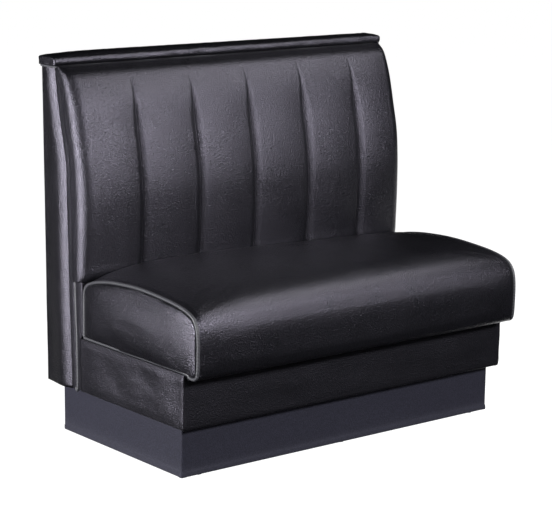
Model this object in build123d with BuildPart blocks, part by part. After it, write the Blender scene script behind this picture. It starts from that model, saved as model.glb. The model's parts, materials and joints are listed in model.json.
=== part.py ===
from build123d import *
import os

# A restaurant booth for one side of a table, in the order that it is put together: plinth, seat box,
# back, and a loose seat that draws out forwards. Millimetres, +Z up, X from left to right and +Y
# towards the outside back. The origin is on the floor, under the middle of the booth.
# A depth is always measured forwards from the outside back, and forward() turns it into Y.

# Driving dimensions
booth_width = 1150
booth_depth = 722
booth_height = 1067
plinth_height = 141
seat_box_height = 151

# Sheet materials and clearances shared by every piece
vinyl = 1.5
board = 18
soft_gap = 0.3
overrun = 5

# Plinth: set back all round, on nail-on glides
plinth_side_inset = 18
plinth_toe_inset = 31
plinth_rear_setback = 54
plinth_hem = 17
plinth_brace_share = 0.34
glide_radius = 9.5
glide_thickness = 2.5
glide_nail_radius = 1.2
glide_nail_length = 18
glide_end_inset = 60
corner_block = 40

# Seat box: a shallow open-topped box under the seat
box_front_setback = 67
box_floor_thickness = 12
box_hem = 14

# Back frame
back_base_depth = 129
outer_panel = 3
inner_panel = 5
rail_height = 90
bolting_rail_height = 80
bolting_rail_lift = 21
rib_spacing_share = 0.5
back_height_shares = (0, 0.153, 0.28, 0.405, 0.53, 0.62, 0.715, 0.805, 0.895, 0.952, 1)
back_depth_shares = (1, 0.96, 0.915, 0.89, 0.868, 0.845, 0.815, 0.667, 0.527, 0.465, 0.42)
rear_rail_shares = (0.5, 0.93)

# Back upholstery: padded sides that swell towards the cap, welts up their front edges, a lower
# padded layer behind the seat and a fluted pad above it
back_welt_radius = 4.5
welt_stand = 24.5
welt_stand_shares = (0.87, 0.95, 0.98, 1, 1, 1, 1, 1, 1.02, 0.8, 0.4)
welt_bend_radius = 30
lower_stand = 22
gusset_thickness = 8
side_swell = 9
pad_thickness = 100
pad_side_swell = 9
pad_corner_share = 0.34
pad_corner_drop = 3
channel_count = 6
channel_pitch = 199
channel_shift = 15
channel_groove = 11
pad_height_shares = (0, 0.024, 0.09, 0.18, 0.28, 0.42, 0.565, 0.7, 0.84, 0.93, 0.97, 1)
pad_thickness_shares = (0.7, 0.82, 0.87, 0.925, 0.97, 1, 0.94, 0.96, 0.93, 0.77, 0.62, 0.31)
groove_shares = (0.5, 1, 1, 1, 1, 1, 1, 1, 1, 0.5, 0.15, 0.1)

# Cap rail
cap_height = 24
cap_depth = 76
cap_side_overhang = 17
cap_board_thickness = 12
cap_plan_radius = 12
cap_edge_radius = 8
cap_welt_radius = 3

# Seat: a crowned cushion on a sprung frame
seat_crown_height = 220
seat_rear_tuck = 29
seat_front_lean = 4
seat_end_slope_share = 0.26
seat_welt_radius = 5
seat_rail = 20
seat_rail_height = 60
seat_front_roll = 24
seat_hem = 12
dust_cover = 0.8
insulator = 4
foam_step_share = 0.68
end_panel_thickness = 17
end_panel_bevel = 9
seat_bottom_radius = 11
seat_end_radius = 22
seat_front_radius = 40
seat_front_bottom_radius = 22
seat_crest_radius = 1200
pad_bottom_share = 0.727
crest_depth_share = 0.46
rear_corner_share = 0.985
front_corner_share = 0.9
end_crest_share = 0.9
end_front_share = 0.8
stretcher_share = 0.33

# Springs of the seat
spring_count = 8
spring_wire_radius = 2
spring_width = 50
spring_pitch = 25
spring_clip_wall = 1
spring_clip_width = 16
spring_clip_base = 14

# Wood screws, one size throughout
screw_length = 45
screw_head_radius = 4.5
screw_head_height = 3
screw_radius = 2.2
screw_clearance = 0.1

# Bolts that tie the back to the seat box
bolt_radius = 4
bolt_hole_radius = 4.5
bolt_head_radius = 7.5
bolt_head_height = 5.5
bolt_flange_radius = 9
bolt_flange_thickness = 1.6
bolt_end = 4
tee_nut_flange_radius = 11
tee_nut_flange_thickness = 1.5
tee_nut_barrel_radius = 5.2
tee_nut_barrel_length = 10
bolt_place_shares = (-0.7, -0.17, 0.17, 0.7)
bolt_head_sides = 6

# Places of the screws, as shares of the board that they go into
board_screw_shares = (0.25, 0.75)
floor_screw_shares = (-0.6, 0.6)
back_foot_screw_shares = (-0.8, -0.25, 0.25, 0.8)
bolting_screw_shares = (0.2, 0.8)
upright_screw_shares = (0.3, 0.65)
seat_screw_shares = (0.3, 0.7)

# Places worked out from the sizes above
half_width = booth_width / 2
frame_half = half_width - vinyl
seat_box_top = plinth_height + seat_box_height
cap_bottom = booth_height - cap_height
back_height = cap_bottom - plinth_height
seat_base = seat_box_top + soft_gap
seat_top = seat_base + seat_crown_height
pad_bottom = seat_base + seat_crown_height * pad_bottom_share
lower_top = pad_bottom - soft_gap


def forward(depth):
    """Y of a place at this depth in front of the outside back."""
    return booth_depth / 2 - depth


def between(value, marks, sizes):
    """Size at a value, along straight lines between the sizes at the marks."""
    for low, high, start, end in zip(marks, marks[1:], sizes, sizes[1:]):
        if value <= high:
            return start + (end - start) * (value - low) / (high - low)
    return sizes[-1]


back_heights = [plinth_height + back_height * share for share in back_height_shares]
back_depths = [back_base_depth * share for share in back_depth_shares]
welt_stands = [welt_stand * share for share in welt_stand_shares]


def frame_depth(height):
    """Depth of the back frame's curved front edge."""
    return between(height, back_heights, back_depths)


def panel_depth(height):
    """Depth of the front of the bent inner panel."""
    return frame_depth(height) + inner_panel


def welt_depth(height):
    """Depth of the middle of the back's side welt."""
    return frame_depth(height) + between(height, back_heights, welt_stands)


def lower_depth(height):
    """Depth of the front of the lower padded layer, a little in front of the welt."""
    return welt_depth(height) + lower_stand


def pad_rear_depth(height):
    """Depth of the rear of the fluted pad, just in front of the welt."""
    return welt_depth(height) + back_welt_radius + soft_gap


def gusset_depth(height):
    """Depth of the front of the gusset, just behind the welt."""
    return welt_depth(height) - back_welt_radius - soft_gap


def side_line(depth_at, low, high):
    """Points (Y, Z) up a curved front edge, from one height to another."""
    heights = [low] + [h for h in back_heights if low < h < high] + [high]
    return [(forward(depth_at(h)), h) for h in heights]


def band(rear_depth_at, front_depth_at, low, high):
    """Closed outline (Y, Z) between two curved edges."""
    rear = side_line(rear_depth_at, low, high)
    front = side_line(front_depth_at, low, high)
    return front + rear[::-1]


def driven(x, depth, height, outward):
    """Place of a fastener whose head faces outward."""
    return Plane(origin=(x, forward(depth), height), z_dir=outward).location


to_front = (0, -1, 0)
to_rear = (0, 1, 0)
to_left = (-1, 0, 0)
to_right = (1, 0, 0)
upwards = (0, 0, 1)
downwards = (0, 0, -1)

# Fasteners that everything else is cut for

with BuildPart() as screw:
    with BuildSketch(Plane.XZ):
        with BuildLine():
            Polyline(
                (0, 0),
                (screw_head_radius, 0),
                (screw_radius, -screw_head_height),
                (screw_radius, screw_head_height - screw_length),
                (0, -screw_length),
                close=True,
            )
        make_face()
    revolve(axis=Axis.Z)

with BuildPart() as screw_hole:
    with BuildSketch(Plane.XZ):
        with BuildLine():
            Polyline(
                (0, overrun),
                (screw_head_radius + screw_clearance, overrun),
                (screw_head_radius + screw_clearance, 0),
                (screw_radius + screw_clearance, -screw_head_height),
                (screw_radius + screw_clearance, -screw_length),
                (0, -screw_length - screw_clearance),
                close=True,
            )
        make_face()
    revolve(axis=Axis.Z)

# Plinth

plinth_front = booth_depth - box_front_setback - plinth_toe_inset
plinth_half = half_width - plinth_side_inset
plinth_board_bottom = glide_thickness + vinyl
plinth_board_height = plinth_height - plinth_board_bottom
plinth_front_line = plinth_front - vinyl - board / 2
plinth_rear_line = plinth_rear_setback + vinyl + board / 2
plinth_side_line = plinth_half - vinyl - board / 2
plinth_middle = (plinth_front + plinth_rear_setback) / 2
plinth_inner_depth = plinth_front_line - plinth_rear_line - board
brace_line = plinth_half * plinth_brace_share

plinth_screw_places = [
    driven(x, depth, plinth_board_bottom + plinth_board_height * share, outward)
    for x in (-plinth_side_line, -brace_line, brace_line, plinth_side_line)
    for depth, outward in ((plinth_front - vinyl, to_front), (plinth_rear_setback + vinyl, to_rear))
    for share in board_screw_shares
]
box_floor_top = plinth_height + box_floor_thickness
floor_screw_places = [
    driven(plinth_half * share, plinth_front_line, box_floor_top, upwards)
    for share in floor_screw_shares
]
back_foot_top = plinth_height + board
back_foot_screw_places = [
    driven(plinth_half * share, plinth_rear_line, back_foot_top, upwards)
    for share in back_foot_screw_shares
]
glide_end_line = plinth_half - glide_end_inset
glide_places = [
    (x, forward(depth))
    for x in (-glide_end_line, 0, glide_end_line)
    for depth in (plinth_front_line, plinth_rear_line)
]

with BuildPart() as floor_glides:
    with BuildSketch():
        with Locations(*glide_places):
            Circle(glide_radius)
    extrude(amount=glide_thickness)
    with BuildSketch(Plane.XY.offset(glide_thickness)):
        with Locations(*glide_places):
            Circle(glide_nail_radius)
    extrude(amount=glide_nail_length)

with BuildPart() as nail_holes:
    with BuildSketch(Plane.XY.offset(glide_thickness - overrun)):
        with Locations(*glide_places):
            Circle(glide_nail_radius + screw_clearance)
    extrude(amount=glide_nail_length + overrun + screw_clearance)

with BuildPart() as plinth_front_board:
    with BuildSketch(Plane.XY.offset(plinth_board_bottom)):
        with Locations((0, forward(plinth_front_line))):
            Rectangle(2 * (plinth_half - vinyl), board)
    extrude(amount=plinth_board_height)
    add(nail_holes.part, mode=Mode.SUBTRACT)
    with Locations(*plinth_screw_places, *floor_screw_places):
        add(screw_hole.part, mode=Mode.SUBTRACT)

with BuildPart() as plinth_rear_board:
    with BuildSketch(Plane.XY.offset(plinth_board_bottom)):
        with Locations((0, forward(plinth_rear_line))):
            Rectangle(2 * (plinth_half - vinyl), board)
    extrude(amount=plinth_board_height)
    add(nail_holes.part, mode=Mode.SUBTRACT)
    with Locations(*plinth_screw_places, *back_foot_screw_places):
        add(screw_hole.part, mode=Mode.SUBTRACT)

plinth_side_boards = []
for x in (-plinth_side_line, plinth_side_line):
    with BuildPart() as plinth_side_board:
        with BuildSketch(Plane.XY.offset(plinth_board_bottom)):
            with Locations((x, forward(plinth_middle))):
                Rectangle(board, plinth_inner_depth)
        extrude(amount=plinth_board_height)
        with Locations(*plinth_screw_places):
            add(screw_hole.part, mode=Mode.SUBTRACT)
    plinth_side_boards.append(plinth_side_board)
plinth_left_board, plinth_right_board = plinth_side_boards

with BuildPart() as plinth_braces:
    with BuildSketch(Plane.XY.offset(plinth_board_bottom)):
        with Locations((-brace_line, forward(plinth_middle)), (brace_line, forward(plinth_middle))):
            Rectangle(board, plinth_inner_depth)
    extrude(amount=plinth_board_height)
    with Locations(*plinth_screw_places):
        add(screw_hole.part, mode=Mode.SUBTRACT)


def corner_triangles(half, front, rear):
    """Sketches a glue block in each inner corner of a rectangle of boards."""
    for side in (-1, 1):
        for depth, turn in ((front, -1), (rear, 1)):
            with BuildLine() as triangle:
                Polyline(
                    (side * half, forward(depth)),
                    (side * (half - corner_block), forward(depth)),
                    (side * half, forward(depth + turn * corner_block)),
                    close=True,
                )
            make_face(triangle.edges())


with BuildPart() as plinth_corner_blocks:
    with BuildSketch(Plane.XY.offset(plinth_board_bottom)):
        corner_triangles(
            plinth_side_line - board / 2,
            plinth_front_line - board / 2,
            plinth_rear_line + board / 2,
        )
    extrude(amount=plinth_board_height)

with BuildPart() as plinth_cover:
    with BuildSketch(Plane.XY.offset(glide_thickness)):
        with Locations((0, forward(plinth_middle))):
            Rectangle(2 * plinth_half, plinth_front - plinth_rear_setback)
    extrude(amount=plinth_height - glide_thickness)
    with BuildSketch(Plane.XY.offset(plinth_board_bottom)):
        with Locations((0, forward(plinth_middle))):
            Rectangle(2 * (plinth_half - vinyl), plinth_front - plinth_rear_setback - 2 * vinyl)
    extrude(amount=plinth_height, mode=Mode.SUBTRACT)
    with BuildSketch():
        with Locations((0, forward(plinth_middle))):
            Rectangle(
                2 * (plinth_half - plinth_hem), plinth_front - plinth_rear_setback - 2 * plinth_hem
            )
    extrude(amount=plinth_height, mode=Mode.SUBTRACT)
    add(nail_holes.part, mode=Mode.SUBTRACT)

# Seat box

box_front = booth_depth - box_front_setback
box_rear = lower_depth(plinth_height) + soft_gap
box_board_top = seat_box_top - vinyl
box_board_height = box_board_top - box_floor_top
box_front_line = box_front - vinyl - board / 2
box_rear_line = box_rear + board / 2
box_side_line = frame_half - board / 2
box_middle = (box_front_line + box_rear_line) / 2
box_inner_depth = box_front_line - box_rear_line - board

box_screw_places = [
    driven(x, depth, box_floor_top + box_board_height * share, outward)
    for x in (-box_side_line, -brace_line, brace_line, box_side_line)
    for depth, outward in ((box_front - vinyl, to_front), (box_rear, to_rear))
    for share in board_screw_shares
]
bolting_rail_bottom = back_foot_top + bolting_rail_lift
bolting_rail_top = bolting_rail_bottom + bolting_rail_height
bolting_rail_front = frame_depth(bolting_rail_top)
bolting_rail_rear = bolting_rail_front - board
bolt_height = (bolting_rail_bottom + bolting_rail_top) / 2
bolt_places = [
    driven(half_width * share, box_rear + board, bolt_height, to_front) for share in bolt_place_shares
]
bolt_reach = box_rear + board - bolting_rail_rear

with BuildPart() as bolt_holes:
    with Locations(*bolt_places):
        with Locations((0, 0, overrun)):
            Cylinder(
                bolt_hole_radius,
                bolt_reach + 2 * overrun,
                align=(Align.CENTER, Align.CENTER, Align.MAX),
            )

with BuildPart() as seat_box_floor:
    with BuildSketch(Plane.XY.offset(plinth_height)):
        with Locations((0, forward((box_front - vinyl + box_rear) / 2))):
            Rectangle(2 * frame_half, box_front - vinyl - box_rear)
    extrude(amount=box_floor_thickness)
    with Locations(*floor_screw_places):
        add(screw_hole.part, mode=Mode.SUBTRACT)

with BuildPart() as seat_box_front_board:
    with BuildSketch(Plane.XY.offset(box_floor_top)):
        with Locations((0, forward(box_front_line))):
            Rectangle(2 * frame_half, board)
    extrude(amount=box_board_height)
    with Locations(*box_screw_places):
        add(screw_hole.part, mode=Mode.SUBTRACT)

with BuildPart() as seat_box_rear_rail:
    with BuildSketch(Plane.XY.offset(box_floor_top)):
        with Locations((0, forward(box_rear_line))):
            Rectangle(2 * frame_half, board)
    extrude(amount=seat_box_top - box_floor_top)
    add(bolt_holes.part, mode=Mode.SUBTRACT)
    with Locations(*box_screw_places):
        add(screw_hole.part, mode=Mode.SUBTRACT)

box_side_boards = []
for x in (-box_side_line, box_side_line):
    with BuildPart() as box_side_board:
        with BuildSketch(Plane.XY.offset(box_floor_top)):
            with Locations((x, forward(box_middle))):
                Rectangle(board, box_inner_depth)
        extrude(amount=box_board_height)
        with Locations(*box_screw_places):
            add(screw_hole.part, mode=Mode.SUBTRACT)
    box_side_boards.append(box_side_board)
seat_box_left_board, seat_box_right_board = box_side_boards

with BuildPart() as seat_box_braces:
    with BuildSketch(Plane.XY.offset(box_floor_top)):
        with Locations((-brace_line, forward(box_middle)), (brace_line, forward(box_middle))):
            Rectangle(board, box_inner_depth)
    extrude(amount=seat_box_top - box_floor_top)
    with Locations(*box_screw_places):
        add(screw_hole.part, mode=Mode.SUBTRACT)

with BuildPart() as seat_box_corner_blocks:
    with BuildSketch(Plane.XY.offset(box_floor_top)):
        corner_triangles(
            box_side_line - board / 2, box_front_line - board / 2, box_rear_line + board / 2
        )
    extrude(amount=box_board_height)

with BuildPart() as seat_box_cover:
    with BuildSketch(Plane.XY.offset(plinth_height - vinyl)):
        with Locations((0, forward((box_front + box_rear) / 2))):
            Rectangle(booth_width, box_front - box_rear)
    extrude(amount=seat_box_height + vinyl)
    with BuildSketch(Plane.XY.offset(plinth_height)):
        with Locations((0, forward((box_front - vinyl + box_rear - overrun) / 2))):
            Rectangle(2 * frame_half, box_front - vinyl - box_rear + overrun)
    extrude(amount=box_board_top - plinth_height, mode=Mode.SUBTRACT)
    with BuildSketch(Plane.XY.offset(plinth_height - vinyl - overrun)):
        with Locations((0, forward((box_front - box_hem + box_rear - overrun) / 2))):
            Rectangle(2 * (half_width - box_hem), box_front - box_hem - box_rear + overrun)
    extrude(amount=2 * overrun, mode=Mode.SUBTRACT)
    with BuildSketch(Plane.XY.offset(box_board_top - overrun)):
        with Locations((0, forward((box_front - vinyl - board + box_rear - overrun) / 2))):
            Rectangle(2 * (frame_half - board), box_front - vinyl - board - box_rear + overrun)
    extrude(amount=2 * overrun, mode=Mode.SUBTRACT)
    with BuildSketch(Plane.XY.offset(box_board_top - overrun)):
        with Locations((0, forward(box_rear_line - overrun / 2))):
            Rectangle(2 * frame_half, board + overrun)
    extrude(amount=2 * overrun, mode=Mode.SUBTRACT)

# Back frame

outer_panel_front = vinyl + outer_panel
rear_rail_front = outer_panel_front + board
stile_line = frame_half - board / 2
rib_line = stile_line * rib_spacing_share
panel_half = frame_half - 2 * back_welt_radius - soft_gap
rear_rail_bottoms = [plinth_height + back_height * share - rail_height / 2 for share in rear_rail_shares]
rail_hole_heights = [
    low + rail_height * share for low in rear_rail_bottoms for share in board_screw_shares
]
bolting_hole_heights = [
    bolting_rail_bottom + bolting_rail_height * share for share in bolting_screw_shares
]

stile_screw_places = [
    driven(side * frame_half, depth, height, outward)
    for side, outward in ((-1, to_left), (1, to_right))
    for depth, heights in (
        (outer_panel_front + board / 2, rail_hole_heights),
        (bolting_rail_front - board / 2, bolting_hole_heights),
    )
    for height in heights
]
rib_screw_places = [
    driven(x, outer_panel_front, height, to_rear)
    for x in (-rib_line, 0, rib_line)
    for height in rail_hole_heights
]
upright_screw_places = [
    driven(x, back_base_depth * share, plinth_height, downwards)
    for x in (-stile_line, -rib_line, 0, rib_line, stile_line)
    for share in upright_screw_shares
]

with BuildPart() as back_bottom_board:
    with BuildSketch(Plane.XY.offset(plinth_height)):
        with Locations((0, forward((outer_panel_front + frame_depth(back_foot_top)) / 2))):
            Rectangle(2 * frame_half, frame_depth(back_foot_top) - outer_panel_front)
    extrude(amount=board)
    with Locations(*back_foot_screw_places, *upright_screw_places):
        add(screw_hole.part, mode=Mode.SUBTRACT)


def upright_outline(rear_depth, bottom):
    """Side shape of an upright piece of the back, with its curved front edge."""
    with BuildLine() as outline:
        Polyline(
            (forward(rear_depth), cap_bottom),
            (forward(rear_depth), bottom),
            *side_line(frame_depth, bottom, cap_bottom),
            close=True,
        )
    make_face(outline.edges())


back_stiles = []
for low_x in (-frame_half, frame_half - board):
    with BuildPart() as back_stile:
        with BuildSketch(Plane.YZ.offset(low_x)):
            upright_outline(outer_panel_front, back_foot_top)
        extrude(amount=board)
        with Locations(*stile_screw_places, *upright_screw_places):
            add(screw_hole.part, mode=Mode.SUBTRACT)
    back_stiles.append(back_stile)
back_left_stile, back_right_stile = back_stiles

with BuildPart() as back_ribs:
    for x in (-rib_line, 0, rib_line):
        with BuildSketch(Plane.YZ.offset(x - board / 2)):
            upright_outline(rear_rail_front, back_foot_top)
        extrude(amount=board)
    with BuildSketch(Plane.XY.offset(bolting_rail_bottom)):
        with Locations((0, forward(bolting_rail_rear + board))):
            Rectangle(2 * frame_half, 2 * board)
    extrude(amount=bolting_rail_height, mode=Mode.SUBTRACT)
    with Locations(*rib_screw_places, *upright_screw_places):
        add(screw_hole.part, mode=Mode.SUBTRACT)

rear_rails = []
for height in rear_rail_bottoms:
    with BuildPart() as rear_rail:
        with BuildSketch(Plane.XY.offset(height)):
            with Locations((0, forward(outer_panel_front + board / 2))):
                Rectangle(2 * (frame_half - board), board)
        extrude(amount=rail_height)
        with Locations(*stile_screw_places, *rib_screw_places):
            add(screw_hole.part, mode=Mode.SUBTRACT)
    rear_rails.append(rear_rail)
back_lumbar_rail, back_top_rail = rear_rails

with BuildPart() as back_bolting_rail:
    with BuildSketch(Plane.XY.offset(bolting_rail_bottom)):
        with Locations((0, forward(bolting_rail_front - board / 2))):
            Rectangle(2 * (frame_half - board), board)
    extrude(amount=bolting_rail_height)
    with Locations(*bolt_places):
        Cylinder(
            tee_nut_barrel_radius + screw_clearance,
            2 * (bolt_reach + overrun),
            mode=Mode.SUBTRACT,
        )
    with Locations(*stile_screw_places):
        add(screw_hole.part, mode=Mode.SUBTRACT)

with BuildPart() as back_inner_panel:
    with BuildSketch(Plane.YZ.offset(-panel_half)):
        with BuildLine():
            Polyline(*band(frame_depth, panel_depth, plinth_height, cap_bottom), close=True)
        make_face()
    extrude(amount=2 * panel_half)
    add(bolt_holes.part, mode=Mode.SUBTRACT)

with BuildPart() as back_outer_panel:
    with BuildSketch(Plane.XY.offset(plinth_height)):
        with Locations((0, forward(vinyl + outer_panel / 2))):
            Rectangle(2 * frame_half, outer_panel)
    extrude(amount=back_height)

with BuildPart() as back_outer_cover:
    with BuildSketch(Plane.XY.offset(plinth_height)):
        with Locations((0, forward(vinyl / 2))):
            Rectangle(booth_width, vinyl)
    extrude(amount=back_height)

with BuildPart() as frame_screws:
    with Locations(
        *plinth_screw_places,
        *floor_screw_places,
        *back_foot_screw_places,
        *box_screw_places,
        *stile_screw_places,
        *rib_screw_places,
        *upright_screw_places,
    ):
        add(screw.part)

# Bolts through the seat box and the bolting rail

with BuildPart() as back_bolts:
    with Locations(*bolt_places):
        Cylinder(bolt_radius, bolt_reach + bolt_end, align=(Align.CENTER, Align.CENTER, Align.MAX))
    for place in bolt_places:
        with BuildSketch(Plane(place)):
            Circle(bolt_flange_radius)
        extrude(amount=bolt_flange_thickness)
        with BuildSketch(Plane(place).offset(bolt_flange_thickness)):
            RegularPolygon(radius=bolt_head_radius, side_count=bolt_head_sides)
        extrude(amount=bolt_head_height)

with BuildPart() as back_tee_nuts:
    for place in bolt_places:
        with BuildSketch(Plane(place).offset(-bolt_reach - tee_nut_flange_thickness)):
            Circle(tee_nut_flange_radius)
        extrude(amount=tee_nut_flange_thickness)
        with BuildSketch(Plane(place).offset(-bolt_reach)):
            Circle(tee_nut_barrel_radius)
        extrude(amount=tee_nut_barrel_length)
        with BuildSketch(Plane(place).offset(-bolt_reach - overrun)):
            Circle(bolt_radius + screw_clearance)
        extrude(amount=2 * overrun + tee_nut_barrel_length, mode=Mode.SUBTRACT)

# Back upholstery

side_covers = []
for side in (-1, 1):
    with BuildPart() as side_cover:
        with BuildSketch(Plane.XZ.offset(-booth_depth)):
            with BuildLine():
                Polyline(
                    (side * frame_half, plinth_height),
                    (side * half_width, plinth_height),
                    (side * (half_width + side_swell), cap_bottom),
                    (side * frame_half, cap_bottom),
                    close=True,
                )
            make_face()
        extrude(amount=2 * booth_depth)
        with BuildSketch(Plane.YZ.offset(-booth_width)):
            upright_outline(vinyl, plinth_height)
        extrude(amount=2 * booth_width, mode=Mode.INTERSECT)
    side_covers.append(side_cover)
back_left_side_cover, back_right_side_cover = side_covers

with BuildPart() as back_gussets:
    for low_x in (-panel_half - soft_gap - gusset_thickness, panel_half + soft_gap):
        with BuildSketch(Plane.YZ.offset(low_x)):
            with BuildLine():
                Polyline(*band(frame_depth, gusset_depth, plinth_height, cap_bottom), close=True)
            make_face()
        extrude(amount=gusset_thickness)

back_welts = []
for welt_x in (back_welt_radius - half_width, half_width - back_welt_radius):
    with BuildPart() as back_welt:
        with BuildLine(Plane.YZ.offset(welt_x)) as welt_path:
            FilletPolyline(
                *side_line(welt_depth, plinth_height + vinyl, cap_bottom - vinyl),
                radius=welt_bend_radius,
            )
        with BuildSketch(Plane(origin=welt_path.line @ 0, z_dir=welt_path.line % 0)):
            Circle(back_welt_radius)
        sweep()
    back_welts.append(back_welt)
back_left_welt, back_right_welt = back_welts

with BuildPart() as back_lower_padding:
    with BuildSketch(Plane.YZ.offset(-panel_half)):
        with BuildLine():
            Polyline(
                *side_line(lambda h: lower_depth(h) - vinyl, plinth_height, lower_top),
                *side_line(panel_depth, plinth_height, lower_top)[::-1],
                close=True,
            )
        make_face()
    extrude(amount=2 * panel_half)
    add(bolt_holes.part, mode=Mode.SUBTRACT)

with BuildPart() as back_lower_cover:
    with BuildSketch(Plane.YZ.offset(-panel_half)):
        with BuildLine():
            Polyline(
                *side_line(lower_depth, plinth_height, lower_top),
                *side_line(lambda h: lower_depth(h) - vinyl, plinth_height, lower_top)[::-1],
                close=True,
            )
        make_face()
    extrude(amount=2 * panel_half)
    add(bolt_holes.part, mode=Mode.SUBTRACT)

# Fluted pad: plan outlines at a few heights, with one arc for each channel

pad_half = half_width + pad_side_swell
pad_height = cap_bottom - pad_bottom
pad_levels = [pad_bottom + pad_height * share for share in pad_height_shares]
pad_thicknesses = [pad_thickness * share for share in pad_thickness_shares]
seam_places = [channel_shift + channel_pitch * (k - channel_count / 2) for k in range(1, channel_count)]
turn_share = 1 / 2**0.5


def pad_face(height):
    """Depth of the crest of the channels."""
    return panel_depth(height) + between(height, pad_levels, pad_thicknesses)


def pad_outline(height, groove_share, skin, rear_half):
    """Plan of the pad at a height, skin inside its cover, with its rear narrowed to rear_half."""
    face = pad_face(height)
    rim = pad_rear_depth(height)
    corner = rim + (face - rim) * pad_corner_share
    radius = face - pad_corner_drop - corner
    turn = radius - skin
    seam = face - channel_groove * groove_share - skin
    side = pad_half - skin
    shoulder = pad_half - radius
    ends = [-shoulder, *seam_places, shoulder]
    depths = [corner + turn] + [seam] * (channel_count - 1) + [corner + turn]
    with BuildLine() as outline:
        if rear_half:
            Polyline(
                (side, forward(corner)),
                (side, forward(rim)),
                (rear_half, forward(rim)),
                (rear_half, forward(0)),
                (-rear_half, forward(0)),
                (-rear_half, forward(rim)),
                (-side, forward(rim)),
                (-side, forward(corner)),
            )
        else:
            Polyline(
                (side, forward(corner)),
                (side, forward(rim)),
                (-side, forward(rim)),
                (-side, forward(corner)),
            )
        for end in (-1, 1):
            ThreePointArc(
                (end * side, forward(corner)),
                (end * (shoulder + turn * turn_share), forward(corner + turn * turn_share)),
                (end * shoulder, forward(corner + turn)),
            )
        for k in range(channel_count):
            middle = ((ends[k] + ends[k + 1]) / 2, forward(face - skin))
            ThreePointArc((ends[k], forward(depths[k])), middle, (ends[k + 1], forward(depths[k + 1])))
    make_face(outline.edges())


cap_welt_line = cap_depth - cap_welt_radius
with BuildPart() as cap_welt_room:
    with BuildSketch(Plane.XY.offset(cap_bottom - 2 * cap_welt_radius - soft_gap)):
        with Locations((0, forward(cap_welt_line - cap_welt_radius - vinyl))):
            Rectangle(2 * booth_width, booth_depth, align=(Align.CENTER, Align.MAX))
    extrude(amount=booth_height)

with BuildPart() as pad_inside:
    for height, groove_share in zip([pad_bottom + vinyl] + pad_levels[1:], groove_shares):
        with BuildSketch(Plane.XY.offset(height)):
            pad_outline(height, groove_share, vinyl, panel_half)
    loft(ruled=True)

with BuildPart() as back_pad_foam:
    add(pad_inside.part)
    with BuildSketch(Plane.YZ.offset(-booth_width)):
        with BuildLine():
            Polyline(
                (forward(-overrun), cap_bottom + overrun),
                (forward(-overrun), plinth_height),
                *side_line(panel_depth, plinth_height, cap_bottom),
                (forward(panel_depth(cap_bottom)), cap_bottom + overrun),
                close=True,
            )
        make_face()
    extrude(amount=2 * booth_width, mode=Mode.SUBTRACT)
    add(cap_welt_room.part, mode=Mode.SUBTRACT)

with BuildPart() as back_channel_cover:
    for height, groove_share in zip(pad_levels, groove_shares):
        with BuildSketch(Plane.XY.offset(height)):
            pad_outline(height, groove_share, 0, 0)
    loft(ruled=True)
    add(pad_inside.part, mode=Mode.SUBTRACT)
    add(cap_welt_room.part, mode=Mode.SUBTRACT)

# Cap rail

cap_half = half_width + cap_side_overhang
cap_board_top = cap_bottom + cap_board_thickness
cap_padding_thickness = cap_height - cap_board_thickness - vinyl


def cap_plan(skin):
    """Plan of the cap, skin inside its cover, with its two front corners rounded."""
    with Locations((0, forward(cap_depth / 2))):
        Rectangle(2 * (cap_half - skin), cap_depth - 2 * skin)
    corners = vertices().group_by(Axis.Y)[0]
    fillet(corners, radius=cap_plan_radius - skin)


with BuildPart() as cap_board:
    with BuildSketch(Plane.XY.offset(cap_bottom)):
        cap_plan(vinyl)
    extrude(amount=cap_board_thickness)

with BuildPart() as cap_padding:
    with BuildSketch(Plane.XY.offset(cap_board_top)):
        cap_plan(vinyl)
    extrude(amount=cap_padding_thickness)
    fillet(edges().group_by(Axis.Z)[-1], radius=cap_edge_radius - vinyl)

with BuildPart() as cap_cover:
    with BuildSketch(Plane.XY.offset(cap_bottom)):
        cap_plan(0)
    extrude(amount=cap_height)
    fillet(edges().group_by(Axis.Z)[-1], radius=cap_edge_radius)
    add(cap_board.part, mode=Mode.SUBTRACT)
    add(cap_padding.part, mode=Mode.SUBTRACT)

cap_welt_half = half_width + side_swell + soft_gap + cap_welt_radius
cap_welt_height = cap_bottom - cap_welt_radius - soft_gap / 2
with BuildPart() as cap_welt:
    with BuildLine(Plane.XY.offset(cap_welt_height)) as cap_welt_path:
        FilletPolyline(
            (-cap_welt_half, forward(cap_welt_radius)),
            (-cap_welt_half, forward(cap_welt_line)),
            (cap_welt_half, forward(cap_welt_line)),
            (cap_welt_half, forward(cap_welt_radius)),
            radius=cap_welt_radius + vinyl,
        )
    with BuildSketch(Plane(origin=cap_welt_path.line @ 0, z_dir=cap_welt_path.line % 0)):
        Circle(cap_welt_radius)
    sweep()

# Seat cushion: side outlines at a few places across the width

seat_rear = pad_face(seat_top) + soft_gap
seat_tuck_depth = seat_rear - seat_rear_tuck
seat_step_top = pad_bottom - 2 * soft_gap
seat_step_bottom = seat_step_top - seat_rear_tuck
crest_depth = seat_rear + (booth_depth - seat_rear) * crest_depth_share
core_half = half_width - 2 * seat_welt_radius
step_radius = 2 * vinyl
seat_rear_top = seat_base + seat_crown_height * rear_corner_share
seat_front_top = seat_base + seat_crown_height * front_corner_share
seat_end_top = seat_base + seat_crown_height * end_crest_share
slope_start = core_half * (1 - seat_end_slope_share)


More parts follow.
